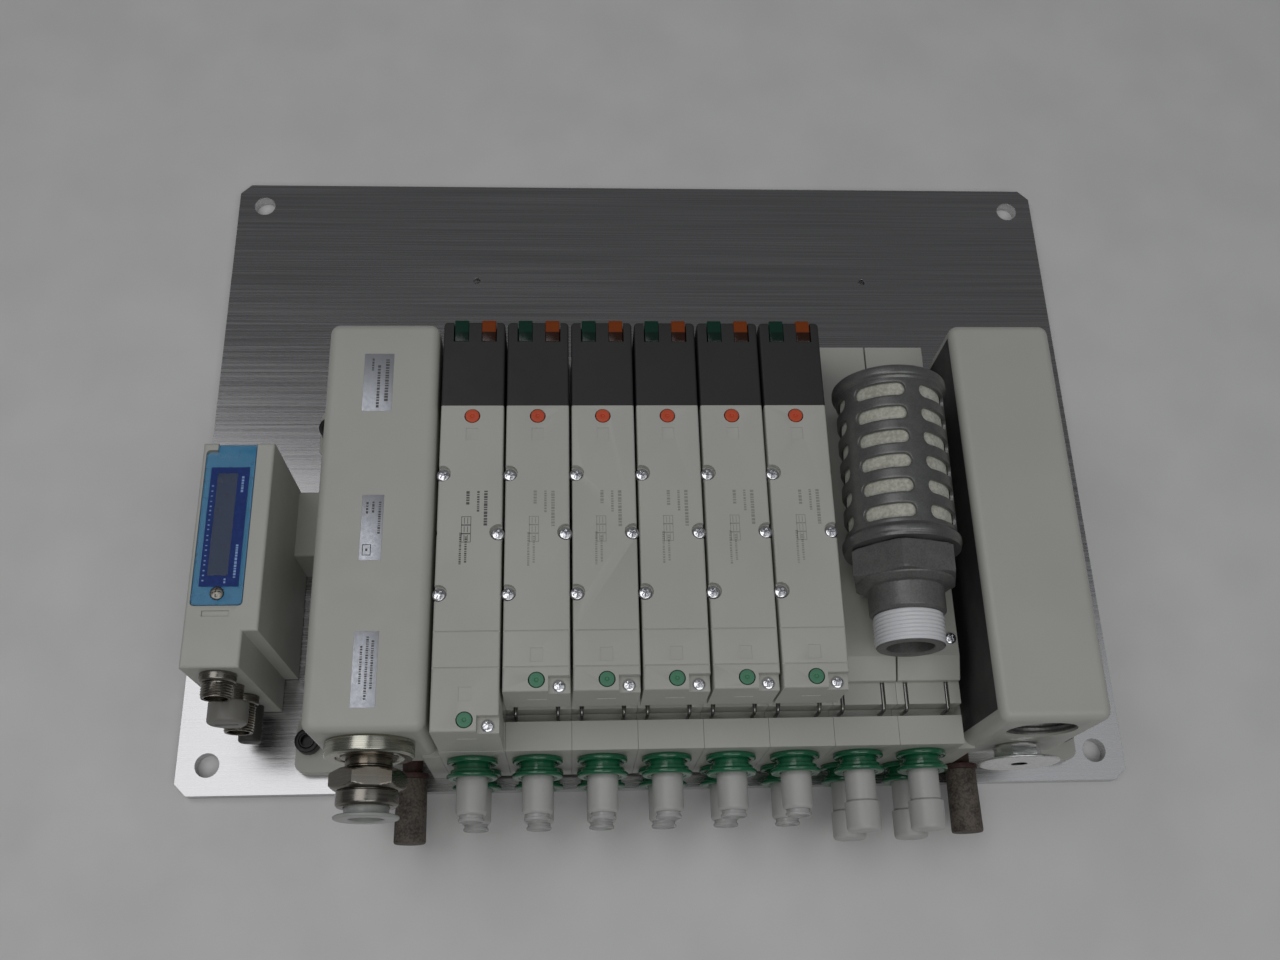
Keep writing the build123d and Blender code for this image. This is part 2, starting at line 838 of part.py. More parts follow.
# Supply fitting: thread, neck, hexagon and barrel on one axis
hex_start = port_ring_length + supply_neck_length
barrel_start = hex_start + supply_hex_length
barrel_front = barrel_start + supply_barrel_length
supply_bush_bore = supply_bush_neck_radius + supply_bush_clearance
supply_bush_depth = supply_bush_length + supply_bush_travel + supply_bush_clearance
with BuildPart() as supply_fitting:
    turned(left_big_port, -supply_bore_depth, supply_bore_depth + port_ring_length, supply_thread_radius)
    turned(left_big_port, port_ring_length, supply_neck_length, supply_neck_radius)
    with BuildSketch(left_big_port.offset(hex_start)):
        RegularPolygon(supply_hex_flats / sqrt(3), 6, rotation=supply_hex_turn)
    extrude(amount=supply_hex_length)
    turned(left_big_port, barrel_start, supply_barrel_length, supply_barrel_radius)
    turned(
        left_big_port,
        barrel_front - supply_socket_depth,
        supply_socket_depth,
        supply_tube_radius,
        mode=Mode.SUBTRACT,
    )
    turned(
        left_big_port,
        barrel_front - supply_bush_depth,
        supply_bush_depth,
        supply_bush_bore,
        mode=Mode.SUBTRACT,
    )
finish(supply_fitting, "supply_fitting")

# Release bush of the supply fitting
bush_start = barrel_front - supply_bush_length
flange_start = barrel_front + supply_bush_travel + supply_bush_stop_gap
with BuildPart() as supply_release_bush:
    turned(left_big_port, bush_start, flange_start - bush_start, supply_bush_neck_radius)
    turned(left_big_port, flange_start, supply_bush_flange_thickness, supply_bush_flange_radius)
    turned(
        left_big_port,
        bush_start,
        flange_start + supply_bush_flange_thickness - bush_start,
        supply_tube_radius + supply_bush_clearance,
        mode=Mode.SUBTRACT,
    )
finish(supply_release_bush, "supply_release_bush")

# Plug in the small port: shank, hexagon and a round flange with a hexagon socket
with BuildPart() as small_port_plug:
    turned(small_port, -small_port_depth, small_port_depth, small_port_radius - cap_shank_clearance)
    with BuildSketch(small_port):
        RegularPolygon(cap_hex_flats / sqrt(3), 6)
    extrude(amount=cap_hex_length)
    turned(small_port, cap_hex_length, cap_disc_thickness, cap_disc_radius)
    with BuildSketch(small_port.offset(cap_hex_length + cap_disc_thickness)):
        RegularPolygon(cap_socket_flats / sqrt(3), 6)
    extrude(amount=-cap_socket_depth, mode=Mode.SUBTRACT)
finish(small_port_plug, "small_port_plug")

# Sintered pilot silencers, screwed into the bases of the end blocks
with BuildPart() as pilot_silencers:
    for pilot_x in (pilot_left_x, pilot_right_x):
        pilot_plane = front_plane(pilot_x, pilot_height, base_front_y)
        turned(pilot_plane, 0, pilot_neck_length, pilot_neck_radius)
        turned(pilot_plane, pilot_neck_length, pilot_base_length, pilot_base_radius)
        turned(pilot_plane, pilot_neck_length + pilot_base_length, pilot_length, pilot_radius)
finish(pilot_silencers, "pilot_silencers")

# Exhaust silencer: its axis lies along the blanking plates, turned a little off the row's depth
silencer_height = seat_height + blank_thickness + silencer_ring_radius
silencer_plane = Plane(
    origin=(silencer_rear_x, silencer_rear_y, deck + silencer_height),
    x_dir=(cos(radians(silencer_turn)), -sin(radians(silencer_turn)), 0),
    z_dir=(-sin(radians(silencer_turn)), -cos(radians(silencer_turn)), 0),
)
front_ring_start = silencer_rear_ring + silencer_cage_length
cage_end = front_ring_start + silencer_front_ring
cage_middle = silencer_rear_ring + silencer_cage_length / 2
slot_length = 2 * silencer_cage_radius * sin(radians(slot_angle / 2))
with BuildPart() as silencer_cage:
    turned(silencer_plane, 0, silencer_rear_ring, silencer_ring_radius)
    turned(silencer_plane, silencer_rear_ring, silencer_cage_length, silencer_cage_radius)
    turned(silencer_plane, front_ring_start, silencer_front_ring, silencer_ring_radius)
    turned(
        silencer_plane,
        silencer_rear_ring,
        silencer_cage_length,
        silencer_cage_radius - silencer_cage_wall,
        mode=Mode.SUBTRACT,
    )
    turned(silencer_plane, 0, silencer_rear_ring, silencer_ring_inner, mode=Mode.SUBTRACT)
    turned(
        silencer_plane,
        front_ring_start,
        silencer_front_ring,
        silencer_ring_inner,
        mode=Mode.SUBTRACT,
    )
    for k in range(slots_around):
        angle = radians(90 + slot_turn + 360 / slots_around * k)
        radial = silencer_plane.x_dir * cos(angle) + silencer_plane.y_dir * sin(angle)
        slot_plane = Plane(
            origin=silencer_plane.origin + silencer_plane.z_dir * cage_middle,
            x_dir=silencer_plane.z_dir,
            z_dir=radial,
        )
        with BuildSketch(slot_plane):
            with GridLocations(slot_pitch, 0, slot_rows, 1):
                SlotOverall(slot_length, slot_width, rotation=90)
        extrude(amount=silencer_ring_radius, mode=Mode.SUBTRACT)
finish(silencer_cage, "silencer_cage")

# Element inside the cage
element_radius = silencer_cage_radius - silencer_cage_wall - element_clearance
with BuildPart() as silencer_element:
    turned(silencer_plane, silencer_rear_ring, silencer_cage_length, element_radius)
    turned(
        silencer_plane,
        silencer_rear_ring,
        silencer_cage_length,
        element_radius - element_wall,
        mode=Mode.SUBTRACT,
    )
finish(silencer_element, "silencer_element")

# Body of the silencer: hexagon with a corner up, neck and threaded end with a through bore
body_plane = silencer_plane.offset(cage_end)
shoulder_start = body_hex_length
neck_start = shoulder_start + body_shoulder_length
thread_start = neck_start + body_neck_length
with BuildPart() as silencer_body:
    with BuildSketch(body_plane):
        RegularPolygon(body_hex_flats / sqrt(3), 6, rotation=90)
    extrude(amount=body_hex_length)
    with BuildSketch(body_plane.offset(shoulder_start)):
        Circle(body_hex_flats / 2)
    with BuildSketch(body_plane.offset(neck_start)):
        Circle(body_shoulder_radius)
    loft()
    turned(body_plane, neck_start, body_neck_length, body_neck_radius)
    turned(body_plane, thread_start, body_thread_length, body_thread_radius)
    turned(body_plane, 0, thread_start + body_thread_length, body_bore_radius, mode=Mode.SUBTRACT)
finish(silencer_body, "silencer_body")

# Serial unit: housing with a stepped nose, and a pocket under its window
unit_top = level_plane(0, 0, unit_height)
window_centre = ((window_x[0] + window_x[1]) / 2, (window_y[0] + window_y[1]) / 2)
window_size = (window_x[1] - window_x[0], window_y[1] - window_y[0])
rebate_y = (window_y[0] - window_gap, window_y[1] + window_swing_gap)
hinge_height = unit_height - hinge_drop
screw_spot = (window_centre[0], window_screw_y)
pocket_floor = unit_height - window_thickness - pocket_depth
pocket_rear_y = window_y[1] - pocket_ledge
pocket_front_y = window_screw_y + screw_post_radius + pocket_ledge
with BuildPart() as serial_housing:
    with BuildSketch(level_plane(0, 0, unit_foot_gap)):
        with BuildLine():
            Polyline(
                (unit_left_x, unit_front_y),
                (unit_nose_right_x, unit_front_y),
                (unit_nose_right_x, unit_step_y),
                (unit_right_x, unit_step_y),
                (unit_right_x, unit_rear_y),
                (unit_left_x, unit_rear_y),
                close=True,
            )
        make_face()
    extrude(amount=unit_height - unit_foot_gap)
    fillet(serial_housing.faces().sort_by(Axis.Z)[-1].edges(), unit_edge)
    with BuildSketch(unit_top):
        with Locations((window_centre[0], (rebate_y[0] + rebate_y[1]) / 2)):
            RectangleRounded(
                window_size[0] + 2 * window_gap,
                rebate_y[1] - rebate_y[0],
                window_corner,
            )
    extrude(amount=-(window_thickness + window_gap), mode=Mode.SUBTRACT)
    cut_pocket(
        unit_top,
        window_x[1] + window_gap - hinge_notch_left_x,
        unit_rear_y - window_y[1] + window_corner,
        hinge_notch_left_x,
        window_y[1] - window_corner,
        hinge_notch_depth,
    )
    cut_pocket(
        unit_top,
        window_size[0] - 2 * pocket_ledge,
        pocket_rear_y - pocket_front_y,
        window_x[0] + pocket_ledge,
        pocket_front_y,
        window_thickness + pocket_depth,
    )
    cut_pocket(
        unit_top,
        finger_notch[0],
        finger_notch[1],
        window_centre[0] - finger_notch[0] / 2,
        window_y[0] - 2 * finger_notch[1],
        finger_notch[2],
    )
    with BuildSketch(level_plane(*screw_spot, unit_height)):
        Circle(screw_post_bore)
    extrude(amount=-(window_thickness + window_gap + window_shank_length), mode=Mode.SUBTRACT)
    with BuildSketch(Plane.YZ.offset(hinge_notch_left_x - hinge_pin_length - hinge_pin_clearance)):
        with Locations((hinge_y, deck + hinge_height)):
            Circle(hinge_pin_radius + hinge_pin_clearance)
    hinge_bore_end = window_x[1] + window_gap + hinge_pin_length + hinge_pin_clearance
    extrude(
        amount=hinge_bore_end - hinge_notch_left_x + hinge_pin_length + hinge_pin_clearance,
        mode=Mode.SUBTRACT,
    )
finish(serial_housing, "serial_housing")

# Window cover: a clear lid that swings up about the pin at its rear edge
barrel_x = (hinge_notch_left_x + window_gap, window_x[1])
with BuildPart() as window_cover:
    with BuildSketch(level_plane(*window_centre, unit_height - window_thickness)):
        RectangleRounded(*window_size, window_corner)
    extrude(amount=window_thickness)
    with BuildSketch(level_plane((barrel_x[0] + barrel_x[1]) / 2, 0, hinge_height)):
        with Locations((0, (hinge_y + window_y[1] - window_corner) / 2)):
            Rectangle(barrel_x[1] - barrel_x[0], hinge_y - window_y[1] + window_corner)
    extrude(amount=hinge_drop)
    with BuildSketch(Plane.YZ.offset(barrel_x[0])):
        with Locations((hinge_y, deck + hinge_height)):
            Circle(hinge_radius)
    extrude(amount=barrel_x[1] - barrel_x[0])
    with BuildSketch(Plane.YZ.offset(barrel_x[0] - window_gap - hinge_pin_length)):
        with Locations((hinge_y, deck + hinge_height)):
            Circle(hinge_pin_radius)
    extrude(amount=barrel_x[1] - barrel_x[0] + 2 * (window_gap + hinge_pin_length))
    with BuildSketch(level_plane(*screw_spot, unit_height)):
        Circle(window_shank_radius + window_screw_clearance)
    extrude(amount=-window_thickness, mode=Mode.SUBTRACT)
finish(window_cover, "window_cover")

# Captive screw in the window cover
with BuildPart() as window_screw:
    turned(level_plane(*screw_spot, unit_height), 0, window_screw_height, window_screw_radius)
    turned(
        level_plane(*screw_spot, unit_height),
        -(window_thickness + window_shank_length - window_gap),
        window_thickness + window_shank_length - window_gap,
        window_shank_radius,
    )
finish(window_screw, "window_screw")

# Switch board on the pocket's floor, with its switches, dial and lamp strip
board_x = (window_x[0] + pocket_ledge, window_x[1] - pocket_ledge)
board_y = (pocket_front_y, pocket_rear_y)
board_centre = ((board_x[0] + board_x[1]) / 2, (board_y[0] + board_y[1]) / 2)
board_top = pocket_floor + board_thickness
switch_x = board_centre[0]
first_switch_y = board_y[1] - switch_rear_inset
with BuildPart() as switch_board:
    with BuildSketch(level_plane(*board_centre, pocket_floor)):
        Rectangle(board_x[1] - board_x[0], board_y[1] - board_y[0])
    extrude(amount=board_thickness)
    with BuildSketch(level_plane(0, 0, board_top)):
        with Locations(*[(switch_x, first_switch_y - switch_pitch * k) for k in range(switch_count)]):
            Rectangle(switch_size[0], switch_size[1])
    extrude(amount=switch_size[2])
    with BuildSketch(level_plane(switch_x, board_y[1] - dial_rear_inset, board_top)):
        Circle(dial_radius)
    extrude(amount=switch_size[2])
    with BuildSketch(level_plane(board_centre[0] - strip_offset, board_centre[1], board_top)):
        Rectangle(strip_size[0], strip_size[1])
    extrude(amount=strip_size[2])
finish(switch_board, "switch_board")

# Round connectors in a column on the front of the serial unit
connector_heights = [first_connector_height - connector_pitch * k for k in range(4)]
connector_planes = [front_plane(connector_x, height, unit_front_y) for height in connector_heights]
with BuildPart() as serial_connectors:
    for plane, length in (
        (connector_planes[0], short_connector_length),
        (connector_planes[2], long_connector_length),
    ):
        turned(plane, 0, connector_nut_length, connector_nut_radius)
        turned(plane, connector_nut_length, length - connector_nut_length, connector_radius)
        turned(
            plane,
            length - connector_bore_depth,
            connector_bore_depth,
            connector_bore_radius,
            mode=Mode.SUBTRACT,
        )
    turned(connector_planes[1], 0, stub_length, stub_radius)
finish(serial_connectors, "serial_connectors")

# Closing cap on the middle connector and a dust cap on the lowest one
with BuildPart() as connector_caps:
    turned(connector_planes[1], stub_length, cap_length, cap_radius)
    with BuildSketch(connector_planes[1].offset(stub_length + cap_length)):
        Rectangle(cap_slot[0], cap_slot[1])
    extrude(amount=-cap_slot[2], mode=Mode.SUBTRACT)
    turned(connector_planes[3], 0, dust_cap_length, dust_cap_radius)
finish(connector_caps, "connector_caps")

# Link block between the serial unit and the left end block
with BuildPart() as link_block:
    link_x = (unit_right_x, left_base_x[0])
    link_centre = ((link_x[0] + link_x[1]) / 2, (link_y[0] + link_y[1]) / 2)
    with BuildSketch(level_plane(*link_centre, 0)):
        Rectangle(link_x[1] - link_x[0], link_y[1] - link_y[0])
    extrude(amount=link_height)
    fillet(link_block.edges().filter_by(Axis.X).group_by(Axis.Z)[-1], unit_edge)
finish(link_block, "link_block")
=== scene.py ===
"""Looks of the pneumatic valve island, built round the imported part.

Sizes in the classes are millimetres in the part's own frame: X along the row of valves, Y to the rear,
Z up from the underside of the mounting plate. Meshes are written in metres.
"""

import logging
from dataclasses import dataclass
from enum import Enum
from typing import Callable, Sequence

import bmesh
import bpy
import numpy as np
from mathutils import Matrix, Vector


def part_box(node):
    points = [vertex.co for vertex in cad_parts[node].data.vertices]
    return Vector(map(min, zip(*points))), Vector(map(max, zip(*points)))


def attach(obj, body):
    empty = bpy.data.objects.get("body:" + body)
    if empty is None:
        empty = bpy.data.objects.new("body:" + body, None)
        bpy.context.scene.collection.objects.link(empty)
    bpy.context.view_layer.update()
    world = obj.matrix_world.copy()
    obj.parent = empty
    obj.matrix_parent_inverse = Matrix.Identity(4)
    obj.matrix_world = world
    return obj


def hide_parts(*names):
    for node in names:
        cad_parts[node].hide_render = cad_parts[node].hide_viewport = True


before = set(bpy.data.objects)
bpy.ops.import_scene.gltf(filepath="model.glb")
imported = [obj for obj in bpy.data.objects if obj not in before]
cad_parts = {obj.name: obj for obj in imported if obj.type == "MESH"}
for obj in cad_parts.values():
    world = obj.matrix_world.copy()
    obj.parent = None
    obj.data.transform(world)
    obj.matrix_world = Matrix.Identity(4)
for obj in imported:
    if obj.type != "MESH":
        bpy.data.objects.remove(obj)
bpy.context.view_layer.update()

Array = np.ndarray
Point = tuple[float, float, float]
Colour = tuple[float, float, float]
MM = 0.001
MAIN_BODY = "island"
NOISE_LOW, NOISE_HIGH = 0.3, 0.7  # where most values of a noise lie
MEET = 2e-6  # metres between points that are merged
log = logging.getLogger("valve_island")


# ---- Finishes ----


class Wiring:
    """One material's node tree, with short ways to add the nodes that the finishes share."""

    def __init__(self, name: str) -> None:
        """Start a material that has only a principled shader and an output.

        Args:
            name: the material's name.
        """
        self.material = bpy.data.materials.new(name)
        self.material.use_nodes = True
        self.tree = self.material.node_tree
        self.shader = self.tree.nodes["Principled BSDF"]

    def node(self, kind: str, **settings: object) -> bpy.types.Node:
        """Add a node.

        Args:
            kind: the node's type in Blender.
            settings: its properties by name.

        Returns:
            The node.
        """
        made = self.tree.nodes.new(kind)
        for key, value in settings.items():
            setattr(made, key, value)
        return made

    def join(self, source: bpy.types.NodeSocket, target: bpy.types.NodeSocket) -> None:
        """Link two sockets."""
        self.tree.links.new(source, target)

    def place(self, stretch: Point = (1.0, 1.0, 1.0), turn: Point = (0.0, 0.0, 0.0)) -> bpy.types.NodeSocket:
        """Object coordinates in metres, turned and then stretched.

        Args:
            stretch: factor along each axis, so a larger one packs the pattern closer.
            turn: rotation in radians about each axis.

        Returns:
            The vector socket to feed a pattern with.
        """
        source = self.node("ShaderNodeTexCoord")
        mapping = self.node("ShaderNodeMapping")
        mapping.inputs["Scale"].default_value = stretch
        mapping.inputs["Rotation"].default_value = turn
        self.join(source.outputs["Object"], mapping.inputs["Vector"])
        return mapping.outputs["Vector"]

    def noise(self, vector: bpy.types.NodeSocket, scale: float, detail: float = 3.0) -> bpy.types.NodeSocket:
        """Soft noise from 0 to 1.

        Args:
            vector: where the pattern is read.
            scale: cells a metre.
            detail: octaves of finer noise.

        Returns:
            The factor's socket.
        """
        made = self.node("ShaderNodeTexNoise")
        made.inputs["Scale"].default_value = scale
        made.inputs["Detail"].default_value = detail
        self.join(vector, made.inputs["Vector"])
        return made.outputs["Fac"]

    def blend(self, factor: bpy.types.NodeSocket, stops: Sequence[tuple[float, Colour]]) -> bpy.types.NodeSocket:
        """Colour ramp.

        Args:
            factor: what runs along the ramp.
            stops: pairs of position and colour.

        Returns:
            The colour's socket.
        """
        ramp = self.node("ShaderNodeValToRGB")
        elements = ramp.color_ramp.elements
        while len(elements) < len(stops):
            elements.new(0.5)
        for element, (position, colour) in zip(elements, stops):
            element.position = position
            element.color = (*colour, 1.0)
        self.join(factor, ramp.inputs["Fac"])
        return ramp.outputs["Color"]

    def spread(self, factor: bpy.types.NodeSocket, low: float, high: float) -> bpy.types.NodeSocket:
        """Stretch the middle part of a noise to a range.

        Args:
            factor: the noise.
            low: what its lower values become.
            high: what its upper values become.

        Returns:
            The stretched factor's socket.
        """
        made = self.node("ShaderNodeMapRange")
        for key, value in (("From Min", NOISE_LOW), ("From Max", NOISE_HIGH), ("To Min", low), ("To Max", high)):
            made.inputs[key].default_value = value
        self.join(factor, made.inputs["Value"])
        return made.outputs["Result"]

    def bump(self, heights: Sequence[tuple[bpy.types.NodeSocket, float, float]]) -> None:
        """Chain bumps into the shader's normal.

        Args:
            heights: for each bump its factor, its strength and its depth in millimetres.
        """
        normal = None
        for factor, strength, depth in heights:
            made = self.node("ShaderNodeBump")
            made.inputs["Strength"].default_value = strength
            made.inputs["Distance"].default_value = depth * MM
            self.join(factor, made.inputs["Height"])
            if normal is not None:
                self.join(normal, made.inputs["Normal"])
            normal = made.outputs["Normal"]
        self.join(normal, self.shader.inputs["Normal"])

    def put(self, **values: object) -> None:
        """Set constants on the shader's own sockets, with underscores for spaces."""
        for key, value in values.items():
            self.shader.inputs[key.replace("_", " ")].default_value = value


def tint(colour: Colour, factor: float) -> Colour:
    """The colour made lighter or darker by a factor."""
    return tuple(min(1.0, channel * factor) for channel in colour)


@dataclass(frozen=True)
class Finish:
    """A finish: its record slot, its colour and how rough it is. Kinds of finish add their own pattern."""

    slot: str
    colour: Colour
    roughness: float = 0.45
    name: str = ""

    def material(self) -> bpy.types.Material:
        """The finish's material, made once, under a name of its own beside the frame's slot materials."""
        key = (self.name or self.slot) + "_look"
        found = bpy.data.materials.get(key)
        if found is not None:
            return found
        wiring = Wiring(key)
        wiring.put(Base_Color=(*self.colour, 1.0), Roughness=self.roughness)
        self.dress(wiring)
        wiring.material.diffuse_color = (*self.colour, 1.0)
        return wiring.material

    def dress(self, wiring: Wiring) -> None:
        """Add the finish's own pattern to its node tree."""
        raise NotImplementedError


@dataclass(frozen=True)
class Moulded(Finish):
    """Moulded plastic or satin paint: fine spark grain, slow drift of colour and a few dull patches.

    grain is in cells a metre, depth in millimetres; drift is the share that the colour wanders either way,
    and coat the weight of a clear gloss.
    """

    grain: float = 2600.0
    depth: float = 0.02
    drift: float = 0.03
    coat: float = 0.0

    def dress(self, wiring: Wiring) -> None:
        """Colour drifts over centimetres, the grain is a few tenths of a millimetre.

        Args:
            wiring: the node tree to add to.
        """
        place = wiring.place()
        slow = wiring.noise(place, 22.0, 2.0)
        fine = wiring.noise(place, self.grain, 2.0)
        light, dark = tint(self.colour, 1 + self.drift), tint(self.colour, 1 - self.drift)
        wiring.join(wiring.blend(slow, [(0.35, dark), (0.65, light)]), wiring.shader.inputs["Base Color"])
        rough = wiring.spread(wiring.noise(place, 140.0), self.roughness - 0.05, self.roughness + 0.06)
        wiring.join(rough, wiring.shader.inputs["Roughness"])
        wiring.put(Coat_Weight=self.coat, Coat_Roughness=0.12)
        wiring.bump([(fine, 0.35, self.depth)])


@dataclass(frozen=True)
class Metal(Finish):
    """Worked metal, with streaks that run along one axis or round a turned piece.

    streak stretches the noise along each axis, cells counts it a metre, depth is in millimetres, contrast is
    the share between light and dark streaks, and stain a colour laid over them in patches.
    """

    streak: Point = (1.0, 60.0, 60.0)
    cells: float = 25.0
    depth: float = 0.006
    contrast: float = 0.12
    anisotropy: float = 0.0
    stain: Colour | None = None

    def dress(self, wiring: Wiring) -> None:
        """Streaks are noise stretched along the tool's path; a slow noise lays the stain over them.

        Args:
            wiring: the node tree to add to.
        """
        streaks = wiring.noise(wiring.place(self.streak), self.cells, 4.0)
        slow = wiring.noise(wiring.place(), 45.0, 4.0)
        light, dark = tint(self.colour, 1 + self.contrast), tint(self.colour, 1 - self.contrast)
        colour = wiring.blend(streaks, [(0.32, dark), (0.68, light)])
        if self.stain is not None:
            mix = wiring.node("ShaderNodeMix", data_type="RGBA", blend_type="MULTIPLY")
            mix.inputs["Factor"].default_value = 0.8
            wiring.join(colour, mix.inputs[6])
            wiring.join(wiring.blend(slow, [(0.42, (1.0, 1.0, 1.0)), (0.62, self.stain)]), mix.inputs[7])
            colour = mix.outputs[2]
        wiring.join(colour, wiring.shader.inputs["Base Color"])
        rough = wiring.spread(streaks, self.roughness * 0.8, self.roughness * 1.25)
        wiring.join(rough, wiring.shader.inputs["Roughness"])
        wiring.put(Metallic=1.0, Anisotropic=self.anisotropy)
        if self.anisotropy:
            along = wiring.node("ShaderNodeCombineXYZ")
            along.inputs["X"].default_value = 1.0
            wiring.join(along.outputs["Vector"], wiring.shader.inputs["Tangent"])
        wiring.bump([(streaks, 0.4, self.depth)])


@dataclass(frozen=True)
class Grainy(Finish):
    """Sintered, cast or felted stuff: grains of two tones with a rough surface.

    other is the second tone, cells the grains a metre, depth their height in millimetres, and fuzz the
    weight of a cloth-like sheen.
    """

    other: Colour = (0.2, 0.2, 0.2)
    cells: float = 1500.0
    depth: float = 0.12
    metallic: float = 0.0
    fuzz: float = 0.0

    def dress(self, wiring: Wiring) -> None:
        """Two noises, one of single grains and one of clumps, give the tones and the height.

        Args:
            wiring: the node tree to add to.
        """
        place = wiring.place()
        grains = wiring.noise(place, self.cells, 5.0)
        clumps = wiring.noise(place, self.cells / 6, 3.0)
        mix = wiring.node("ShaderNodeMix", data_type="FLOAT")
        mix.inputs["Factor"].default_value = 0.4
        wiring.join(grains, mix.inputs[2])
        wiring.join(clumps, mix.inputs[3])
        colour = wiring.blend(mix.outputs[0], [(0.38, self.other), (0.58, self.colour)])
        wiring.join(colour, wiring.shader.inputs["Base Color"])
        wiring.put(Metallic=self.metallic, Sheen_Weight=self.fuzz)
        wiring.bump([(clumps, 0.3, self.depth), (grains, 0.5, self.depth)])


@dataclass(frozen=True)
class Clear(Finish):
    """Clear or milky plastic that lets light through.

    pass_through is the share of light that is refracted through, cover how much a tinted sheet hides, and
    cloud the darkening in its haze. A rear colour starts at rear_from, in metres along Y.
    """

    pass_through: float = 0.8
    cover: float = 1.0
    cloud: float = 0.1
    rear: Colour | None = None
    rear_from: float = 0.0

    def dress(self, wiring: Wiring) -> None:
        """The colour may change towards the rear, as a lamp does past its dark front half.

        Args:
            wiring: the node tree to add to.
        """
        place = wiring.place()
        haze = wiring.noise(place, 300.0, 2.0)
        if self.rear is None:
            colour = wiring.blend(haze, [(0.3, tint(self.colour, 1 - self.cloud)), (0.7, self.colour)])
        else:
            parts = wiring.node("ShaderNodeSeparateXYZ")
            wiring.join(place, parts.inputs["Vector"])
            step = wiring.node("ShaderNodeMapRange", clamp=True)
            for key, value in (("From Min", self.rear_from), ("From Max", self.rear_from + 0.0004)):
                step.inputs[key].default_value = value
            wiring.join(parts.outputs["Y"], step.inputs["Value"])
            colour = wiring.blend(step.outputs["Result"], [(0.0, self.colour), (1.0, self.rear)])
        wiring.join(colour, wiring.shader.inputs["Base Color"])
        wiring.put(Transmission_Weight=self.pass_through, IOR=1.46, Alpha=self.cover)
        wiring.bump([(haze, 0.1, 0.02)])


@dataclass(frozen=True)
class Milky(Finish):
    """White plastic that light soaks into a little; soak is the weight of that."""

    soak: float = 0.35

    def dress(self, wiring: Wiring) -> None:
        """Soaking light softens the shade side; flow marks run along the moulding.

        Args:
            wiring: the node tree to add to.
        """
        flow = wiring.noise(wiring.place((1.0, 0.25, 1.0)), 160.0, 3.0)
        colour = wiring.blend(flow, [(0.35, tint(self.colour, 0.94)), (0.65, self.colour)])
        wiring.join(colour, wiring.shader.inputs["Base Color"])
        wiring.put(Subsurface_Weight=self.soak, Subsurface_Radius=(1.0, 0.9, 0.8), Subsurface_Scale=0.0015)
        wiring.bump([(wiring.noise(wiring.place(), 2200.0, 2.0), 0.2, 0.015)])


@dataclass(frozen=True)
class Ink(Finish):
    """Printed ink or a foil, with faint wear."""

    metallic: float = 0.0
    wear: float = 0.15

    def dress(self, wiring: Wiring) -> None:
        """Wear is a mid-size noise in the colour and the gloss.

        Args:
            wiring: the node tree to add to.
        """
        worn = wiring.noise(wiring.place(), 700.0, 4.0)
        colour = wiring.blend(worn, [(0.3, tint(self.colour, 1 + self.wear)), (0.7, tint(self.colour, 1 - self.wear))])
        wiring.join(colour, wiring.shader.inputs["Base Color"])
        wiring.join(wiring.spread(worn, self.roughness, self.roughness + 0.12), wiring.shader.inputs["Roughness"])
        wiring.put(Metallic=self.metallic)
        wiring.bump([(worn, 0.1, 0.01)])


PLATE = Metal("brushed_aluminium", (0.54, 0.54, 0.55), 0.25, streak=(8.0, 1500.0, 1500.0), cells=1.0,
              depth=0.004, contrast=0.12, anisotropy=0.6)
IVORY_PAINT = Moulded("ivory_paint", (0.485, 0.49, 0.45), 0.42)
IVORY_PLASTIC = Moulded("ivory_plastic", (0.50, 0.505, 0.465), 0.46)
CHARCOAL = Moulded("charcoal_plastic", (0.027, 0.027, 0.029), 0.55, grain=1800.0, depth=0.04, drift=0.08)
DARK_CAP = Moulded("charcoal_plastic", (0.045, 0.047, 0.043), 0.5, name="cap_plastic")
GREY_CAP = Moulded("charcoal_plastic", (0.21, 0.205, 0.19), 0.4, name="closing_cap_plastic")
GREEN_BUTTON = Moulded("green_button", (0.075, 0.26, 0.15), 0.45)
ORANGE_BUTTON = Moulded("orange_button", (0.62, 0.085, 0.03), 0.45)
GREEN_GLOSS = Moulded("green_plastic", (0.010, 0.125, 0.055), 0.22, grain=900.0, depth=0.01, drift=0.12, coat=0.6)
GREEN_LENS = Clear("green_lens", (0.006, 0.030, 0.020), 0.2, pass_through=0.35, rear=(0.009, 0.060, 0.036),
                   rear_from=0.0133)
AMBER_LENS = Clear("amber_lens", (0.045, 0.014, 0.006), 0.2, pass_through=0.35, rear=(0.34, 0.070, 0.012),
                   rear_from=0.0133)
MILKY_WHITE = Milky("white_plastic", (0.51, 0.51, 0.50), 0.38)
CLEAR_RING = Clear("clear_plastic", (0.80, 0.81, 0.80), 0.25, pass_through=0.55)
GREY_BUSH = Clear("grey_plastic", (0.55, 0.57, 0.55), 0.3, pass_through=0.25)
ZINC = Metal("zinc_screw", (0.78, 0.79, 0.82), 0.16, streak=(30.0, 30.0, 30.0), contrast=0.05)
WIRE = Metal("spring_wire", (0.30, 0.30, 0.29), 0.30, streak=(40.0, 4.0, 40.0))
NICKEL = Metal("nickel", (0.245, 0.232, 0.208), 0.26, streak=(2.0, 90.0, 2.0), cells=18.0, stain=(0.75, 0.66, 0.56))
YELLOW_NICKEL = Metal("nickel", (0.44, 0.435, 0.375), 0.24, streak=(2.0, 140.0, 2.0), cells=22.0,
                      contrast=0.22, name="port_ring_plating")
BRIGHT_STEEL = Metal("bright_steel", (0.74, 0.75, 0.75), 0.18, streak=(12.0, 60.0, 12.0))
PALE_STEEL = Metal("bright_steel", (0.82, 0.83, 0.82), 0.34, streak=(30.0, 5.0, 30.0), name="disc_steel")
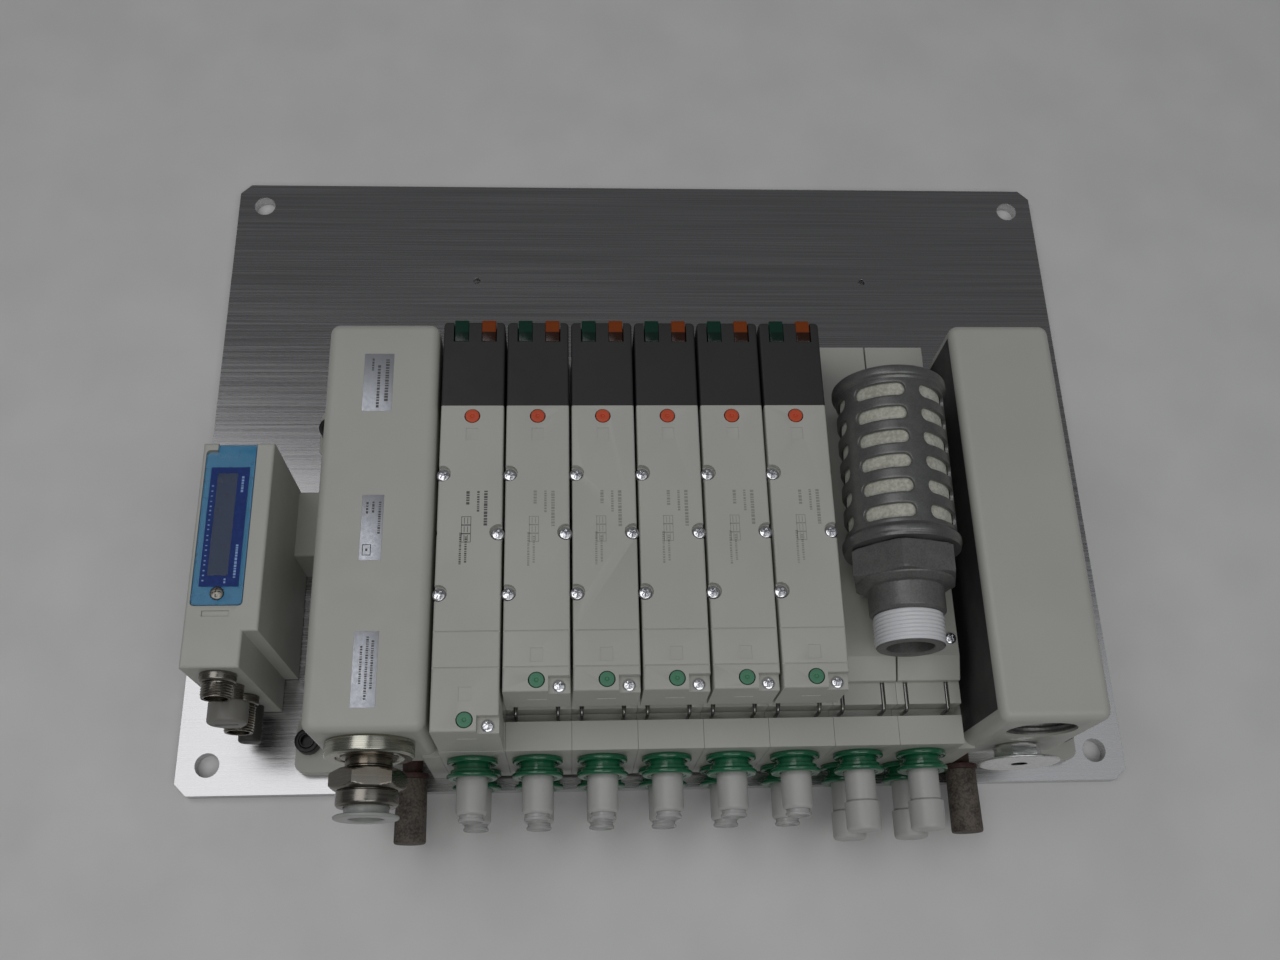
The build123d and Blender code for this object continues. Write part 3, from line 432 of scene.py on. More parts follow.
BLACK_OXIDE = Metal("black_screw", (0.030, 0.030, 0.031), 0.34, streak=(40.0, 40.0, 40.0))
SINTERED = Grainy("sintered_bronze", (0.140, 0.117, 0.098), 0.75, other=(0.046, 0.038, 0.033), cells=1100.0,
                  depth=0.2)
REDDISH = Grainy("sintered_bronze", (0.075, 0.035, 0.030), 0.55, other=(0.035, 0.018, 0.016), cells=900.0,
                 depth=0.04, name="pilot_base")
CAST = Grainy("cast_grey", (0.185, 0.191, 0.185), 0.34, other=(0.142, 0.146, 0.141), cells=1700.0,
              depth=0.03, metallic=0.5)
DARK_CAST = Grainy("cast_grey", (0.180, 0.180, 0.177), 0.42, other=(0.130, 0.131, 0.129), cells=1500.0,
                   depth=0.04, metallic=0.3, name="hexagon_cast")
FELT = Grainy("cream_felt", (0.62, 0.62, 0.55), 0.9, other=(0.42, 0.42, 0.36), cells=900.0, depth=0.25, fuzz=0.3)
TAPE = Milky("white_plastic", (0.80, 0.81, 0.84), 0.32, name="thread_tape", soak=0.2)
BOARD = Moulded("dark_board", (0.012, 0.022, 0.050), 0.4)
SWITCH_FACE = Moulded("dark_board", (0.42, 0.58, 0.62), 0.4, name="switch_face")
DIAL_FACE = Moulded("dark_board", (0.42, 0.36, 0.07), 0.4, name="dial_face")
WINDOW = Clear("blue_window", (0.03, 0.32, 0.62), 0.06, pass_through=0.0, cover=0.55)
SMOKED = Clear("blue_window", (0.003, 0.020, 0.090), 0.1, pass_through=0.0, cover=0.50, name="window_smoked")
FIELD_BLUE = Ink("blue_window", (0.001, 0.028, 0.190), 0.60, name="window_field")
FIELD_MARK = Ink("blue_window", (0.25, 0.42, 0.75), 0.4, name="window_marks")
FOIL = Ink("nickel", (0.44, 0.46, 0.50), 0.34, name="sticker_foil", metallic=0.75, wear=0.05)
DARK_INK = Ink("charcoal_plastic", (0.10, 0.10, 0.10), 0.5, name="dark_print")
FAINT_INK = Ink("charcoal_plastic", (0.31, 0.315, 0.285), 0.5, name="faint_print", wear=0.1)
PALE_INK = Ink("ivory_plastic", (0.68, 0.69, 0.64), 0.5, name="pale_print")
DARK_HOLE = Grainy("cast_grey", (0.200, 0.202, 0.196), 0.4, other=(0.110, 0.110, 0.106), cells=900.0,
                   depth=0.03, metallic=0.5, name="port_metal")
# Near-black colour: painted shade for the floor of the open port and the slot of the closing cap.
DEEP_SHADE = Moulded("charcoal_plastic", (0.006, 0.006, 0.006), 0.7, name="deep_shade")
BRASS_PIN = Metal("nickel", (0.62, 0.46, 0.22), 0.3, name="contact_pins")


# ---- Shapes ----


@dataclass
class Shell:
    """A surface in millimetres: points as an (n, 3) array and four-cornered faces as an (m, 4) array."""

    points: Array
    faces: Array

    def moved(self, *offset: float) -> "Shell":
        """The same surface, shifted."""
        return Shell(self.points + np.array(offset, float), self.faces)

    def at_each(self, offsets: Array) -> "Shell":
        """Copies of the surface, as one shell.

        Args:
            offsets: the copies' places, one row each.

        Returns:
            The shell of all the copies.
        """
        offsets = np.asarray(offsets, float).reshape(-1, 1, 3)
        points = (self.points[None] + offsets).reshape(-1, 3)
        steps = np.arange(len(offsets)).reshape(-1, 1, 1) * len(self.points)
        return Shell(points, (self.faces[None] + steps).reshape(-1, 4))


def together(shells: Sequence[Shell]) -> Shell:
    """Several shells as one."""
    starts = np.cumsum([0] + [len(shell.points) for shell in shells[:-1]])
    return Shell(
        np.concatenate([shell.points for shell in shells]),
        np.concatenate([shell.faces + start for shell, start in zip(shells, starts)]),
    )


def sheet_of(points: Array, wrap_rows: bool = False, wrap_columns: bool = False) -> Shell:
    """Join a grid of points, (rows, columns, 3), into four-cornered faces.

    Args:
        points: the grid.
        wrap_rows: join the last row to the first.
        wrap_columns: join the last column to the first.

    Returns:
        The surface.
    """
    rows, columns = points.shape[:2]
    i = np.arange(rows if wrap_rows else rows - 1)[:, None]
    j = np.arange(columns if wrap_columns else columns - 1)[None, :]
    i, j = np.broadcast_arrays(i, j)
    below, right = (i + 1) % rows, (j + 1) % columns
    corners = (i * columns + j, i * columns + right, below * columns + right, below * columns + j)
    return Shell(points.reshape(-1, 3), np.stack(corners, -1).reshape(-1, 4))


def rounded(corners: Sequence[Sequence[float]], closed: bool = True, steps: int = 4) -> Array:
    """Line through corners, each given as (..., rounding), with every corner swapped for a smooth bend.

    The bend is the quadratic curve (1-t)^2 A + 2t(1-t) C + t^2 B, where C is the corner and A and B lie
    on its two sides at the rounding distance.

    Args:
        corners: coordinates with the rounding distance last; zero keeps the corner sharp.
        closed: whether the line returns to its start.
        steps: points in each bend, less one.

    Returns:
        The points of the line, one row each.
    """
    table = np.array(corners, float)
    spots, reach = table[:, :-1], table[:, -1:]
    before, after = np.roll(spots, 1, 0), np.roll(spots, -1, 0)
    if not closed:
        before[0], after[-1] = spots[0], spots[-1]

    def towards(other: Array) -> Array:
        """Where the bend meets the side towards another corner, never past the side's middle."""
        gap = other - spots
        length = np.linalg.norm(gap, axis=1, keepdims=True)
        return spots + gap / np.maximum(length, 1e-9) * np.minimum(reach, length * 0.499)

    start, end = towards(before)[:, None], towards(after)[:, None]
    t = np.linspace(0.0, 1.0, steps + 1)[None, :, None]
    bends = (1 - t) ** 2 * start + 2 * t * (1 - t) * spots[:, None] + t ** 2 * end
    return bends.reshape(-1, spots.shape[1])


def lathe(profile: Array, segments: int = 48, closed: bool = True) -> Shell:
    """Turn a profile about Z: x = r cos a, y = r sin a, z = along.

    Args:
        profile: rows of (radius, along).
        segments: points round the axis.
        closed: join the profile's end to its start.

    Returns:
        The turned surface.
    """
    angle = np.linspace(0, 2 * np.pi, segments, endpoint=False)
    radius, along = profile[:, :1], profile[:, 1:2]
    level = np.broadcast_to(along, (len(profile), segments))
    points = np.stack([radius * np.cos(angle), radius * np.sin(angle), level], -1)
    return sheet_of(points, wrap_rows=closed, wrap_columns=True)


def turned_piece(corners: Sequence[Sequence[float]], segments: int = 48, steps: int = 3) -> Shell:
    """Turned piece from profile corners (radius, along, rounding)."""
    return lathe(rounded(corners, steps=steps), segments)


def facing_front(shell: Shell, x: float = 0.0, y: float = 0.0, z: float = 0.0) -> Shell:
    """Lay a piece built along Z so that it points to the front (-Y), starting at the given place."""
    a, b, c = shell.points.T
    return Shell(np.stack([a + x, y - c, b + z], -1), shell.faces)


def six_sided(
    flats: float, length: float, bore: float, chamfer: float, both_ends: bool = True, turn: float = 0.0,
    slope: float = 0.577, across: int = 16,
) -> Shell:
    """Hexagon bar with the rounded bevels that a turning tool leaves on its corners.

    Its radius at angle a and distance s is the smaller of the flat, (flats/2)/cos(a to the nearest
    flat), and the bevel cone, flats/2 + (s + chamfer)/slope, and the cone at the far end alike.

    Args:
        flats: size across flats.
        length: length along Z.
        bore: radius of the hole through it, or 0.
        chamfer: how far the bevel reaches in along the flats' middle, where the cone meets them.
        both_ends: bevel the start too, not just the end.
        turn: rotation about Z in degrees.
        slope: rise of the bevel along the axis for each step outwards.
        across: points along each flat.

    Returns:
        The bar, standing on Z = 0.
    """
    angle = np.linspace(0, 2 * np.pi, 6 * across, endpoint=False)
    from_flat = (angle + np.pi / 6) % (np.pi / 3) - np.pi / 6
    flat = flats / 2 / np.cos(from_flat)
    along = np.concatenate([np.linspace(0, 0.3, 7), np.linspace(0.34, 0.66, 5), np.linspace(0.7, 1, 7)]) * length
    cone_end = flats / 2 + ((length - along) - chamfer) / slope
    cone_start = flats / 2 + (along - chamfer) / slope if both_ends else np.full_like(along, flats)
    radius = np.minimum(np.minimum(flat[None], cone_end[:, None]), cone_start[:, None])
    radius = np.concatenate([np.full((1, len(angle)), bore), radius, np.full((1, len(angle)), bore)])
    levels = np.concatenate([[0.0], along, [length]])[:, None] + np.zeros_like(radius)
    swing = angle + np.radians(turn)
    points = np.stack([radius * np.cos(swing), radius * np.sin(swing), levels], -1)
    return sheet_of(points, wrap_rows=True, wrap_columns=True)


def thread(
    radius: float, depth: float, pitch: float, start: float, length: float, back: float,
    segments: int = 48, samples: int = 6,
) -> Shell:
    """Threaded sleeve: radius less depth times a rounded wave of (along/pitch - angle/turn).

    Args:
        radius: crest radius; less than back for a thread on the inside of a hole.
        depth: from crest to root, negative for an inside thread.
        pitch: distance from crest to crest.
        start: where the sleeve begins along Z.
        length: length of the sleeve.
        back: radius of its plain side.
        segments: points round it.
        samples: points in each pitch.

    Returns:
        The sleeve.
    """
    count = max(8, int(length / pitch * samples))
    along = np.linspace(0, length, count + 1)
    angle = np.linspace(0, 2 * np.pi, segments, endpoint=False)
    phase = along[:, None] / pitch - angle[None] / (2 * np.pi)
    wave = (0.5 - 0.5 * np.cos(2 * np.pi * phase)) ** 0.8
    fade = np.clip(np.minimum(along, length - along) / pitch, 0, 1)[:, None]
    crest = radius - depth * (wave * fade + (1 - fade))
    radii = np.concatenate([np.full((1, segments), back), crest, np.full((1, segments), back)])
    levels = np.concatenate([[0.0], along, [length]])[:, None] + start + np.zeros_like(radii)
    points = np.stack([radii * np.cos(angle), radii * np.sin(angle), levels], -1)
    return sheet_of(points, wrap_rows=True, wrap_columns=True)


def soft_block(low: Sequence[float], high: Sequence[float], edge: float, steps: int = 3) -> Shell:
    """Block with rounded edges between two corners.

    Each point is the nearest inner corner plus edge times a direction of the sphere, so the sphere's
    eight parts sit at the block's corners and the faces stay flat between them.

    Args:
        low: the corner with the lowest coordinates.
        high: the corner with the highest.
        edge: radius of the edges, cut back to half the thinnest side.
        steps: faces round each edge.

    Returns:
        The block.
    """
    low, high = np.array(low, float), np.array(high, float)
    middle, half = (low + high) / 2, (high - low) / 2
    edge = min(edge, *half)
    quarter = np.linspace(0, np.pi / 2, steps + 1)
    turn = (quarter[None] + np.arange(4)[:, None] * np.pi / 2).ravel()
    side_x = np.repeat([1, -1, -1, 1], steps + 1)
    side_y = np.repeat([1, 1, -1, -1], steps + 1)
    rise = np.concatenate([quarter - np.pi / 2, quarter])
    side_z = np.repeat([-1, 1], steps + 1)
    cos_rise = np.cos(rise)[:, None]
    x = edge * cos_rise * np.cos(turn) + side_x * (half[0] - edge)
    y = edge * cos_rise * np.sin(turn) + side_y * (half[1] - edge)
    z = (edge * np.sin(rise) + side_z * (half[2] - edge))[:, None] + np.zeros_like(x)
    rows = np.stack([x, y, z], -1)
    floor_row, top_row = rows[:1] * [0, 0, 1], rows[-1:] * [0, 0, 1]
    return sheet_of(np.concatenate([floor_row, rows, top_row]) + middle, wrap_columns=True)


def bent_wire(path: Array, radius: float, sides: int = 12) -> Shell:
    """Round wire along a path: point + radius (cos a N + sin a B), with N square to the path.

    N is a fixed slanted direction less its share along the path, which never vanishes for a path that
    keeps to the three axes and the bends between them.

    Args:
        path: the wire's middle line, one row each point.
        radius: the wire's radius.
        sides: points round the wire.

    Returns:
        The wire with closed ends.
    """
    tangent = np.gradient(path, axis=0)
    tangent /= np.linalg.norm(tangent, axis=1, keepdims=True)
    slant = np.array([1.0, -1.0, 1.0]) / np.sqrt(3)
    normal = slant - (tangent @ slant)[:, None] * tangent
    normal /= np.linalg.norm(normal, axis=1, keepdims=True)
    other = np.cross(tangent, normal)
    angle = np.linspace(0, 2 * np.pi, sides, endpoint=False)[None, :, None]
    ring = radius * (np.cos(angle) * normal[:, None] + np.sin(angle) * other[:, None])
    skin = path[:, None] + ring
    ends = [np.repeat(path[i][None, None], sides, 1) for i in (0, -1)]
    return sheet_of(np.concatenate([ends[0], skin, ends[1]]), wrap_columns=True)


def cross_head(radius: float, height: float, sink: float = 1.0, segments: int = 48) -> Shell:
    """Domed screw head with a cross recess, standing on Z = 0.

    The height at radius r is height (1 - 0.35 (r/R)^2), less a drop at the very rim, and less sink where
    the point lies in one of two crossed bars or in the round pit at their middle, with a short wall between.

    Args:
        radius: the head's radius.
        height: its height at the middle.
        sink: depth of the recess.
        segments: points round the head.

    Returns:
        The head.
    """
    ring = np.concatenate([np.linspace(0, 0.72, 15), [0.8, 0.88, 0.94, 0.98, 1.0]])[:, None] * radius
    angle = np.linspace(0, 2 * np.pi, segments, endpoint=False)[None]
    x, y = ring * np.cos(angle), ring * np.sin(angle)
    near, far = np.minimum(abs(x), abs(y)), np.maximum(abs(x), abs(y))
    across = np.clip((0.17 * radius - near) / (0.06 * radius), 0, 1)
    inside = across * np.clip((0.66 * radius - far) / (0.1 * radius), 0, 1)
    pit = np.clip((0.30 * radius - np.hypot(x, y)) / (0.08 * radius), 0, 1)
    share = ring / radius
    dome = height * (1 - 0.35 * share ** 2 - 0.25 * np.clip((share - 0.88) / 0.12, 0, 1) ** 2)
    top = np.stack([x, y, dome - sink * np.maximum(inside, pit)], -1)
    rim = np.stack([x[-1:], y[-1:], np.zeros_like(x[-1:])], -1)
    return sheet_of(np.concatenate([top, rim, rim * 0]), wrap_columns=True)


def make_piece(
    name: str, shell: Shell, finish: Finish, body: str = MAIN_BODY, stands_for: Sequence[str] = (),
    sharp: float = 32.0,
) -> bpy.types.Object:
    """Write a shell into a mesh object that rides on a body.

    Args:
        name: the object's name.
        shell: its surface in millimetres.
        finish: its finish.
        body: the body it moves with.
        stands_for: CAD nodes that it replaces.
        sharp: angle in degrees past which an edge stays sharp.

    Returns:
        The object.
    """
    mesh = bpy.data.meshes.new(name)
    mesh.from_pydata((shell.points * MM).tolist(), [], shell.faces.tolist())
    close_up(mesh, MEET)
    piece = dressed_object(name, mesh, finish, sharp)
    settle(piece, body, stands_for)
    return piece


def dressed_object(name: str, mesh: bpy.types.Mesh, finish: Finish, sharp: float) -> bpy.types.Object:
    """Give a mesh its finish and its smooth faces, and put it into the scene.

    Args:
        name: the object's name.
        mesh: its mesh.
        finish: its finish.
        sharp: angle in degrees past which an edge stays sharp.

    Returns:
        The object.
    """
    mesh.materials.clear()
    mesh.materials.append(finish.material())
    mesh.polygons.foreach_set("use_smooth", [True] * len(mesh.polygons))
    mesh.set_sharp_from_angle(angle=np.radians(sharp))
    piece = bpy.data.objects.new(name, mesh)
    bpy.context.scene.collection.objects.link(piece)
    return piece


def settle(piece: bpy.types.Object, body: str, stands_for: Sequence[str]) -> None:
    """Tell the frame what a piece rides on and replaces, and report it.

    Args:
        piece: the finished object.
        body: the body it moves with.
        stands_for: CAD nodes that it replaces.
    """
    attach(piece, body)
    if stands_for:
        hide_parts(*stands_for)
    log.info("piece %s rides on %s", piece.name, body)


def close_up(mesh: bpy.types.Mesh, distance: float) -> None:
    """Merge points that meet, drop empty faces and turn the normals outwards.

    Args:
        mesh: the mesh to mend.
        distance: how far apart merged points may lie, in metres.
    """
    shape = bmesh.new()
    shape.from_mesh(mesh)
    bmesh.ops.remove_doubles(shape, verts=shape.verts, dist=distance)
    bmesh.ops.dissolve_degenerate(shape, edges=shape.edges, dist=distance / 4)
    bmesh.ops.recalc_face_normals(shape, faces=shape.faces)
    shape.to_mesh(mesh)
    shape.free()


def eased_copy(
    node: str, finish: Finish, edge: float, body: str = MAIN_BODY, sharp: float = 28.0, steps: int = 2,
    reshape: Callable[[Array], Array] | None = None,
) -> bpy.types.Object:
    """Copy a CAD node, join its triangles into faces and ease its edges; the copy stands for the node.

    Args:
        node: the CAD node.
        finish: its finish.
        edge: width of the eased edges in millimetres.
        body: the body it moves with.
        sharp: angle in degrees past which an edge is eased and kept.
        steps: faces across each eased edge.
        reshape: moves the points, given and returned in millimetres as an (n, 3) array.

    Returns:
        The new object.
    """
    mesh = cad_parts[node].data.copy()
    mesh.name = node + "_eased"
    shape = bmesh.new()
    shape.from_mesh(mesh)
    bmesh.ops.remove_doubles(shape, verts=shape.verts, dist=MEET)
    bmesh.ops.dissolve_limit(
        shape, angle_limit=np.radians(0.5), use_dissolve_boundaries=False, verts=shape.verts, edges=shape.edges,
    )
    shape.to_mesh(mesh)
    shape.free()
    if reshape is not None:
        flat = np.empty(len(mesh.vertices) * 3)
        mesh.vertices.foreach_get("co", flat)
        mesh.vertices.foreach_set("co", (reshape(flat.reshape(-1, 3) / MM) * MM).ravel())
    piece = dressed_object(node + "_eased", mesh, finish, sharp)
    if edge > 0:
        ease = piece.modifiers.new("ease", "BEVEL")
        ease.width = edge * MM
        ease.segments = steps
        ease.limit_method = "ANGLE"
        ease.angle_limit = np.radians(sharp)
        ease.harden_normals = True
        ease.use_clamp_overlap = True
    settle(piece, body, [node])
    return piece


def slabs(places: Array, thickness: float, level: float) -> Shell:
    """Flat bars lying at a level.

    Args:
        places: rows of (x low, y low, x high, y high).
        thickness: the bars' thickness.
        level: height of their underside.

    Returns:
        The bars as one shell.
    """
    places = np.asarray(places, float).reshape(-1, 4)
    corners = np.array([[0, 1, 0], [2, 1, 0], [2, 3, 0], [0, 3, 0]])
    flat = places[:, corners[:, :2]]
    low = np.concatenate([flat, np.full((len(places), 4, 1), level)], -1)
    high = np.concatenate([flat, np.full((len(places), 4, 1), level + thickness)], -1)
    points = np.concatenate([low, high], 1).reshape(-1, 3)
    box = np.array([[0, 3, 2, 1], [4, 5, 6, 7], [0, 1, 5, 4], [1, 2, 6, 5], [2, 3, 7, 6], [3, 0, 4, 7]])
    faces = box[None] + np.arange(len(places))[:, None, None] * 8
    return Shell(points, faces.reshape(-1, 4))


def dashes(
    x: float, y_from: float, y_to: float, height: float, seed: int, lengths: tuple[float, float] = (0.5, 1.1),
    gap: float = 0.35,
) -> Array:
    """A line of short strokes that runs along -Y, standing for a line of print without any letters.

    Args:
        x: the strokes' left side.
        y_from: where the line starts.
        y_to: where it has to end.
        height: the strokes' size across the line.
        seed: seed of their random lengths and gaps.
        lengths: shortest and longest stroke.
        gap: the usual gap.

    Returns:
        The strokes as rows for slabs.
    """
    rng = np.random.default_rng(seed)
    most = 60
    size = rng.uniform(*lengths, most)
    ends = np.cumsum(size + gap * rng.uniform(0.7, 1.3, most))
    keep = ends < abs(y_to - y_from)
    ends, size = ends[keep], size[keep]
    start = y_from - ends
    return np.stack([np.full_like(ends, x), start, np.full_like(ends, x + height), start + size], -1)


# ---- The island's sub-assemblies ----


@dataclass
class Row:
    """Places along the row of stations, shared by all the sub-assemblies."""

    left: float = -86.9
    pitch: float = 25.0
    stations: int = 8
    valves: int = 6
    port_offset: float = -0.7

    def centre(self, index: int) -> float:
        """Centre of a station."""
        return self.left + self.pitch * (index + 0.5)

    def centres(self, first: int = 0, last: int | None = None) -> list[float]:
        """Centres of a run of stations."""
        return [self.centre(i) for i in range(first, self.stations if last is None else last)]


@dataclass
class Base:
    """Mounting plate, manifold base blocks, their wire clips and the foot screws."""

    row: Row
    wire: float = 0.7
    wire_span: float = 8.0
    wire_rear: float = -111.0
    wire_front: float = -131.4
    wire_height: float = 65.15
    wire_foot: float = 56.0
    bend: float = 1.6
    screw_head: float = 5.0

    def build(self) -> None:
        """Dress the plate and the blocks, and bend the wires."""
        eased_copy("mounting_plate", PLATE, 0.35)
        eased_copy("manifold_blocks", IVORY_PAINT, 0.35)
        eased_copy("blanking_plates", IVORY_PLASTIC, 0.4)
        eased_copy("link_block", IVORY_PAINT, 0.0)
        self.build_wires()
        self.build_foot_screws()

    def build_wires(self) -> None:
        """Each clip is a U of wire whose two ends turn down into the block's trough."""
        corners = [
            (-self.wire_span, self.wire_front, self.wire_foot, 0),
            (-self.wire_span, self.wire_front, self.wire_height, self.bend),
            (-self.wire_span, self.wire_rear, self.wire_height, self.bend),
            (self.wire_span, self.wire_rear, self.wire_height, self.bend),
            (self.wire_span, self.wire_front, self.wire_height, self.bend),
            (self.wire_span, self.wire_front, self.wire_foot, 0),
        ]
        path = rounded(corners, closed=False, steps=6)
        keep = np.r_[True, np.linalg.norm(np.diff(path, axis=0), axis=1) > 1e-6]
        wire = bent_wire(path[keep], self.wire)
        spots = [(x + self.row.port_offset, 0, 0) for x in self.row.centres()]
        make_piece("clip_wires", wire.at_each(spots), WIRE, stands_for=["fitting_clips"])

    def build_foot_screws(self) -> None:
        """Socket heads with a six-sided socket: outer wall, rounded rim, socket wall and floor."""
        low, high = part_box("foot_screws")
        top = high.z / MM
        head = turned_piece([(0, -6, 0), (5, -6, 0.2), (5, 0, 0.7), (3.15, 0, 0.25), (2.9, -3.0, 0), (0, -3.0, 0)])
        shank = turned_piece([(0, -19.0, 0), (3.0, -19.0, 0.3), (3.0, -6.0, 0), (0, -6.0, 0)], segments=24)
        socket = six_sided(5.9, 2.9, 2.5, 0.0, both_ends=False, slope=9.0, across=6).moved(0, 0, -2.95)
        screw = together([head, shank, socket])
        xs = (low.x / MM + self.screw_head, high.x / MM - self.screw_head)
        ys = (low.y / MM + self.screw_head, high.y / MM - self.screw_head)
        spots = [(x, y, top) for x in xs for y in ys]
        make_piece("foot_screws_turned", screw.at_each(spots), BLACK_OXIDE, stands_for=["foot_screws"])


@dataclass
class Valves:
    """Six valves: bodies, dark covers, lamps, screws, push-buttons and faint print."""

    row: Row
    top: float = 101.3
    front: float = -130.5
    long_extra: float = 13.8
    button: float = 2.65
    button_proud: float = 0.2
    button_depth: float = 4.5
    rear_button: float = -23.3
    front_button: float = 4.1
    # Top screws: offset from the valve's middle, and y
    screw_rows: tuple[tuple[float, float], ...] = ((-10.4, -47.2), (10.4, -70.8), (-10.4, -94.2))
    screw_floor: float = 98.5
    corner_floor: float = 97.3
    blank_top: float = 72.4
    screw_radius: float = 2.5
    corner_radius: float = 2.3
    screw_height: float = 1.5
    screw_sink: float = 0.75
    corner_place: tuple[float, float] = (8.0, 2.4)
    blank_place: tuple[float, float] = (9.1, -105.5)
    lamp_offsets: tuple[float, float] = (-5.0, 5.6)
    # Width, depth and height of a lamp
    lamp: tuple[float, float, float] = (5.6, 9.5, 5.0)
    lamp_edge: float = 0.45
    lamp_proud: float = 0.9
    spread: float = 1.03
    # Lines of print: offset from the valve's middle, start and end along Y, height, seed, stroke lengths
    print_lines: tuple[tuple[float, float, float, float, int, tuple[float, float]], ...] = (
        (5.2, -54.0, -69.0, 1.3, 11, (0.5, 1.1)),
        (2.6, -54.0, -63.0, 0.9, 31, (0.4, 0.8)),
        (-1.4, -54.0, -60.5, 1.2, 51, (0.5, 1.1)),
        (-3.6, -70.5, -84.0, 0.8, 71, (0.3, 0.7)),
        (-1.6, -72.0, -83.0, 0.8, 91, (0.3, 0.7)),
    )
    symbol_place: tuple[float, float] = (-3.0, -66.0)
    # Half width, half height and thickness of the bar on the nose
    nose_mark: tuple[float, float, float] = (3.5, 0.35, 0.25)
    nose_level: float = 88.0

    def build(self) -> None:
        """Dress the bodies and add what sits on them."""
        eased_copy("valve_bodies", IVORY_PLASTIC, 0.22, sharp=35, reshape=self.widened)
        eased_copy("pilot_covers", CHARCOAL, 0.0, reshape=self.widened)
        self.build_lamps()
        self.build_screws()
        self.build_buttons()
        self.build_print()
        self.build_nose_marks()

    def widened(self, points: Array) -> Array:
        """Narrow the gaps between valves: x moves away from its station's centre by the spread.

        Args:
            points: the valves' points.

        Returns:
            The moved points.
        """
        station = np.clip(np.floor((points[:, 0] - self.row.left) / self.row.pitch), 0, self.row.valves - 1)
        centre = self.row.left + self.row.pitch * (station + 0.5)
        moved = points.copy()
        moved[:, 0] = centre + (points[:, 0] - centre) * self.spread
        return moved

    def front_of(self, index: int) -> float:
        """Front face of a valve; the first is longer."""
        return self.front - (self.long_extra if index == 0 else 0.0)

    def build_lamps(self) -> None:
        """Clear blocks with rounded edges, let into the covers' rear edge and a little proud of it."""
        kinds = (("lamp_windows_green", GREEN_LENS), ("lamp_windows_amber", AMBER_LENS))
        for (node, finish), offset in zip(kinds, self.lamp_offsets):
            low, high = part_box(node)
            rear, top = high.y / MM + self.lamp_proud, high.z / MM
            block = soft_block(
                (offset - self.lamp[0] / 2, rear - self.lamp[1], top - self.lamp[2]),
                (offset + self.lamp[0] / 2, rear, top), self.lamp_edge,
            )
            spots = [(x, 0, 0) for x in self.row.centres(0, self.row.valves)]
            make_piece(node + "_blocks", block.at_each(spots), finish, stands_for=[node])

    def build_screws(self) -> None:
        """Cross-head screws, each turned a little differently from the next."""
        heads = []
        rng = np.random.default_rng(7)

        def add_head(radius: float, x: float, y: float, z: float) -> None:
            """Set down one head, turned by chance."""
            turn = rng.uniform(0, np.pi / 2)
            head = cross_head(radius, self.screw_height, sink=self.screw_sink)
            a, b, c = head.points.T
            spun = np.stack([a * np.cos(turn) - b * np.sin(turn), a * np.sin(turn) + b * np.cos(turn), c], -1)
            heads.append(Shell(spun + [x, y, z], head.faces))

        for index in range(self.row.valves):
            centre = self.row.centre(index)
            for offset, y in self.screw_rows:
                add_head(self.screw_radius, centre + offset, y, self.screw_floor)
            across, inset = self.corner_place
            add_head(self.corner_radius, centre + across, self.front_of(index) + inset, self.corner_floor)
        for index in range(self.row.valves, self.row.stations):
            across, y = self.blank_place
            add_head(self.corner_radius, self.row.centre(index) + across, y, self.blank_top)
        make_piece("cross_head_screws", together(heads), ZINC, stands_for=["valve_screws"])

    def build_buttons(self) -> None:
        """Push-buttons: round, with an eased rim and a dimple."""
        depth, proud = self.button_depth, self.button_proud
        profile = [
            (0, -depth, 0), (self.button, -depth, 0), (self.button, 0, 0.25),
            (0.75, 0, 0.15), (0.6, -0.45, 0.1), (0, -0.5, 0),
        ]
        shape = turned_piece(profile, segments=40)
        for line, finish in (("rear", ORANGE_BUTTON), ("front", GREEN_BUTTON)):
            for index in range(self.row.valves):
                y = self.rear_button if line == "rear" else self.front_of(index) + self.front_button
                node = f"{line}_button_{index + 1}"
                placed = shape.moved(self.row.centre(index), y, self.top + proud)
                make_piece(node + "_cap", placed, finish, body=node, stands_for=[node])

    def build_print(self) -> None:
        """Strokes and a plain valve symbol in place of the print, dark on the first valve, faint on the rest."""
        level, thin = self.top + 0.004, 0.02
        faint = []
        for index in range(self.row.valves):
            centre = self.row.centre(index)
            strokes = [
                dashes(centre + offset, start, stop, height, seed + index, lengths)
                for offset, start, stop, height, seed, lengths in self.print_lines
            ]
            across, y = self.symbol_place
            marks = np.concatenate(strokes + [self.symbol(centre + across, y)])
            if index == 0:
                make_piece("first_valve_print", slabs(marks, thin, level), DARK_INK)
            else:
                faint.append(slabs(marks, thin, level))
        make_piece("valve_print", together(faint), FAINT_INK)

    def build_nose_marks(self) -> None:
        """A pale bar across each valve's nose."""
        across, tall, thick = self.nose_mark
        marks = []
        for index in range(self.row.valves):
            x, front = self.row.centre(index), self.front_of(index) - 0.02
            bar = slabs([(x - across, -tall, x + across, tall)], thick, 0)
            marks.append(facing_front(bar, y=front + 0.2, z=self.nose_level))
        make_piece("nose_marks", together(marks), PALE_INK)

    @staticmethod
    def symbol(x: float, y: float) -> Array:
        """Three squares in a row with two strokes in each: the plain drawing of a valve's positions.

        Args:
            x: the squares' left side.
            y: their middle.

        Returns:
            The strokes as rows for slabs.
        """
        side, line = 3.4, 0.22
        rows = []
        for k in range(3):
            top = y + 1.5 - side * k
            rows += [
                (x, top - side, x + line, top), (x + side, top - side, x + side + line, top),
                (x, top - line, x + side, top), (x, top - side, x + side, top - side + line),
            ]
            for share in (0.3, 0.66):
                start = x + side * share
                rows.append((start, top - side * 0.85, start + line, top - side * 0.15))
        return np.array(rows)


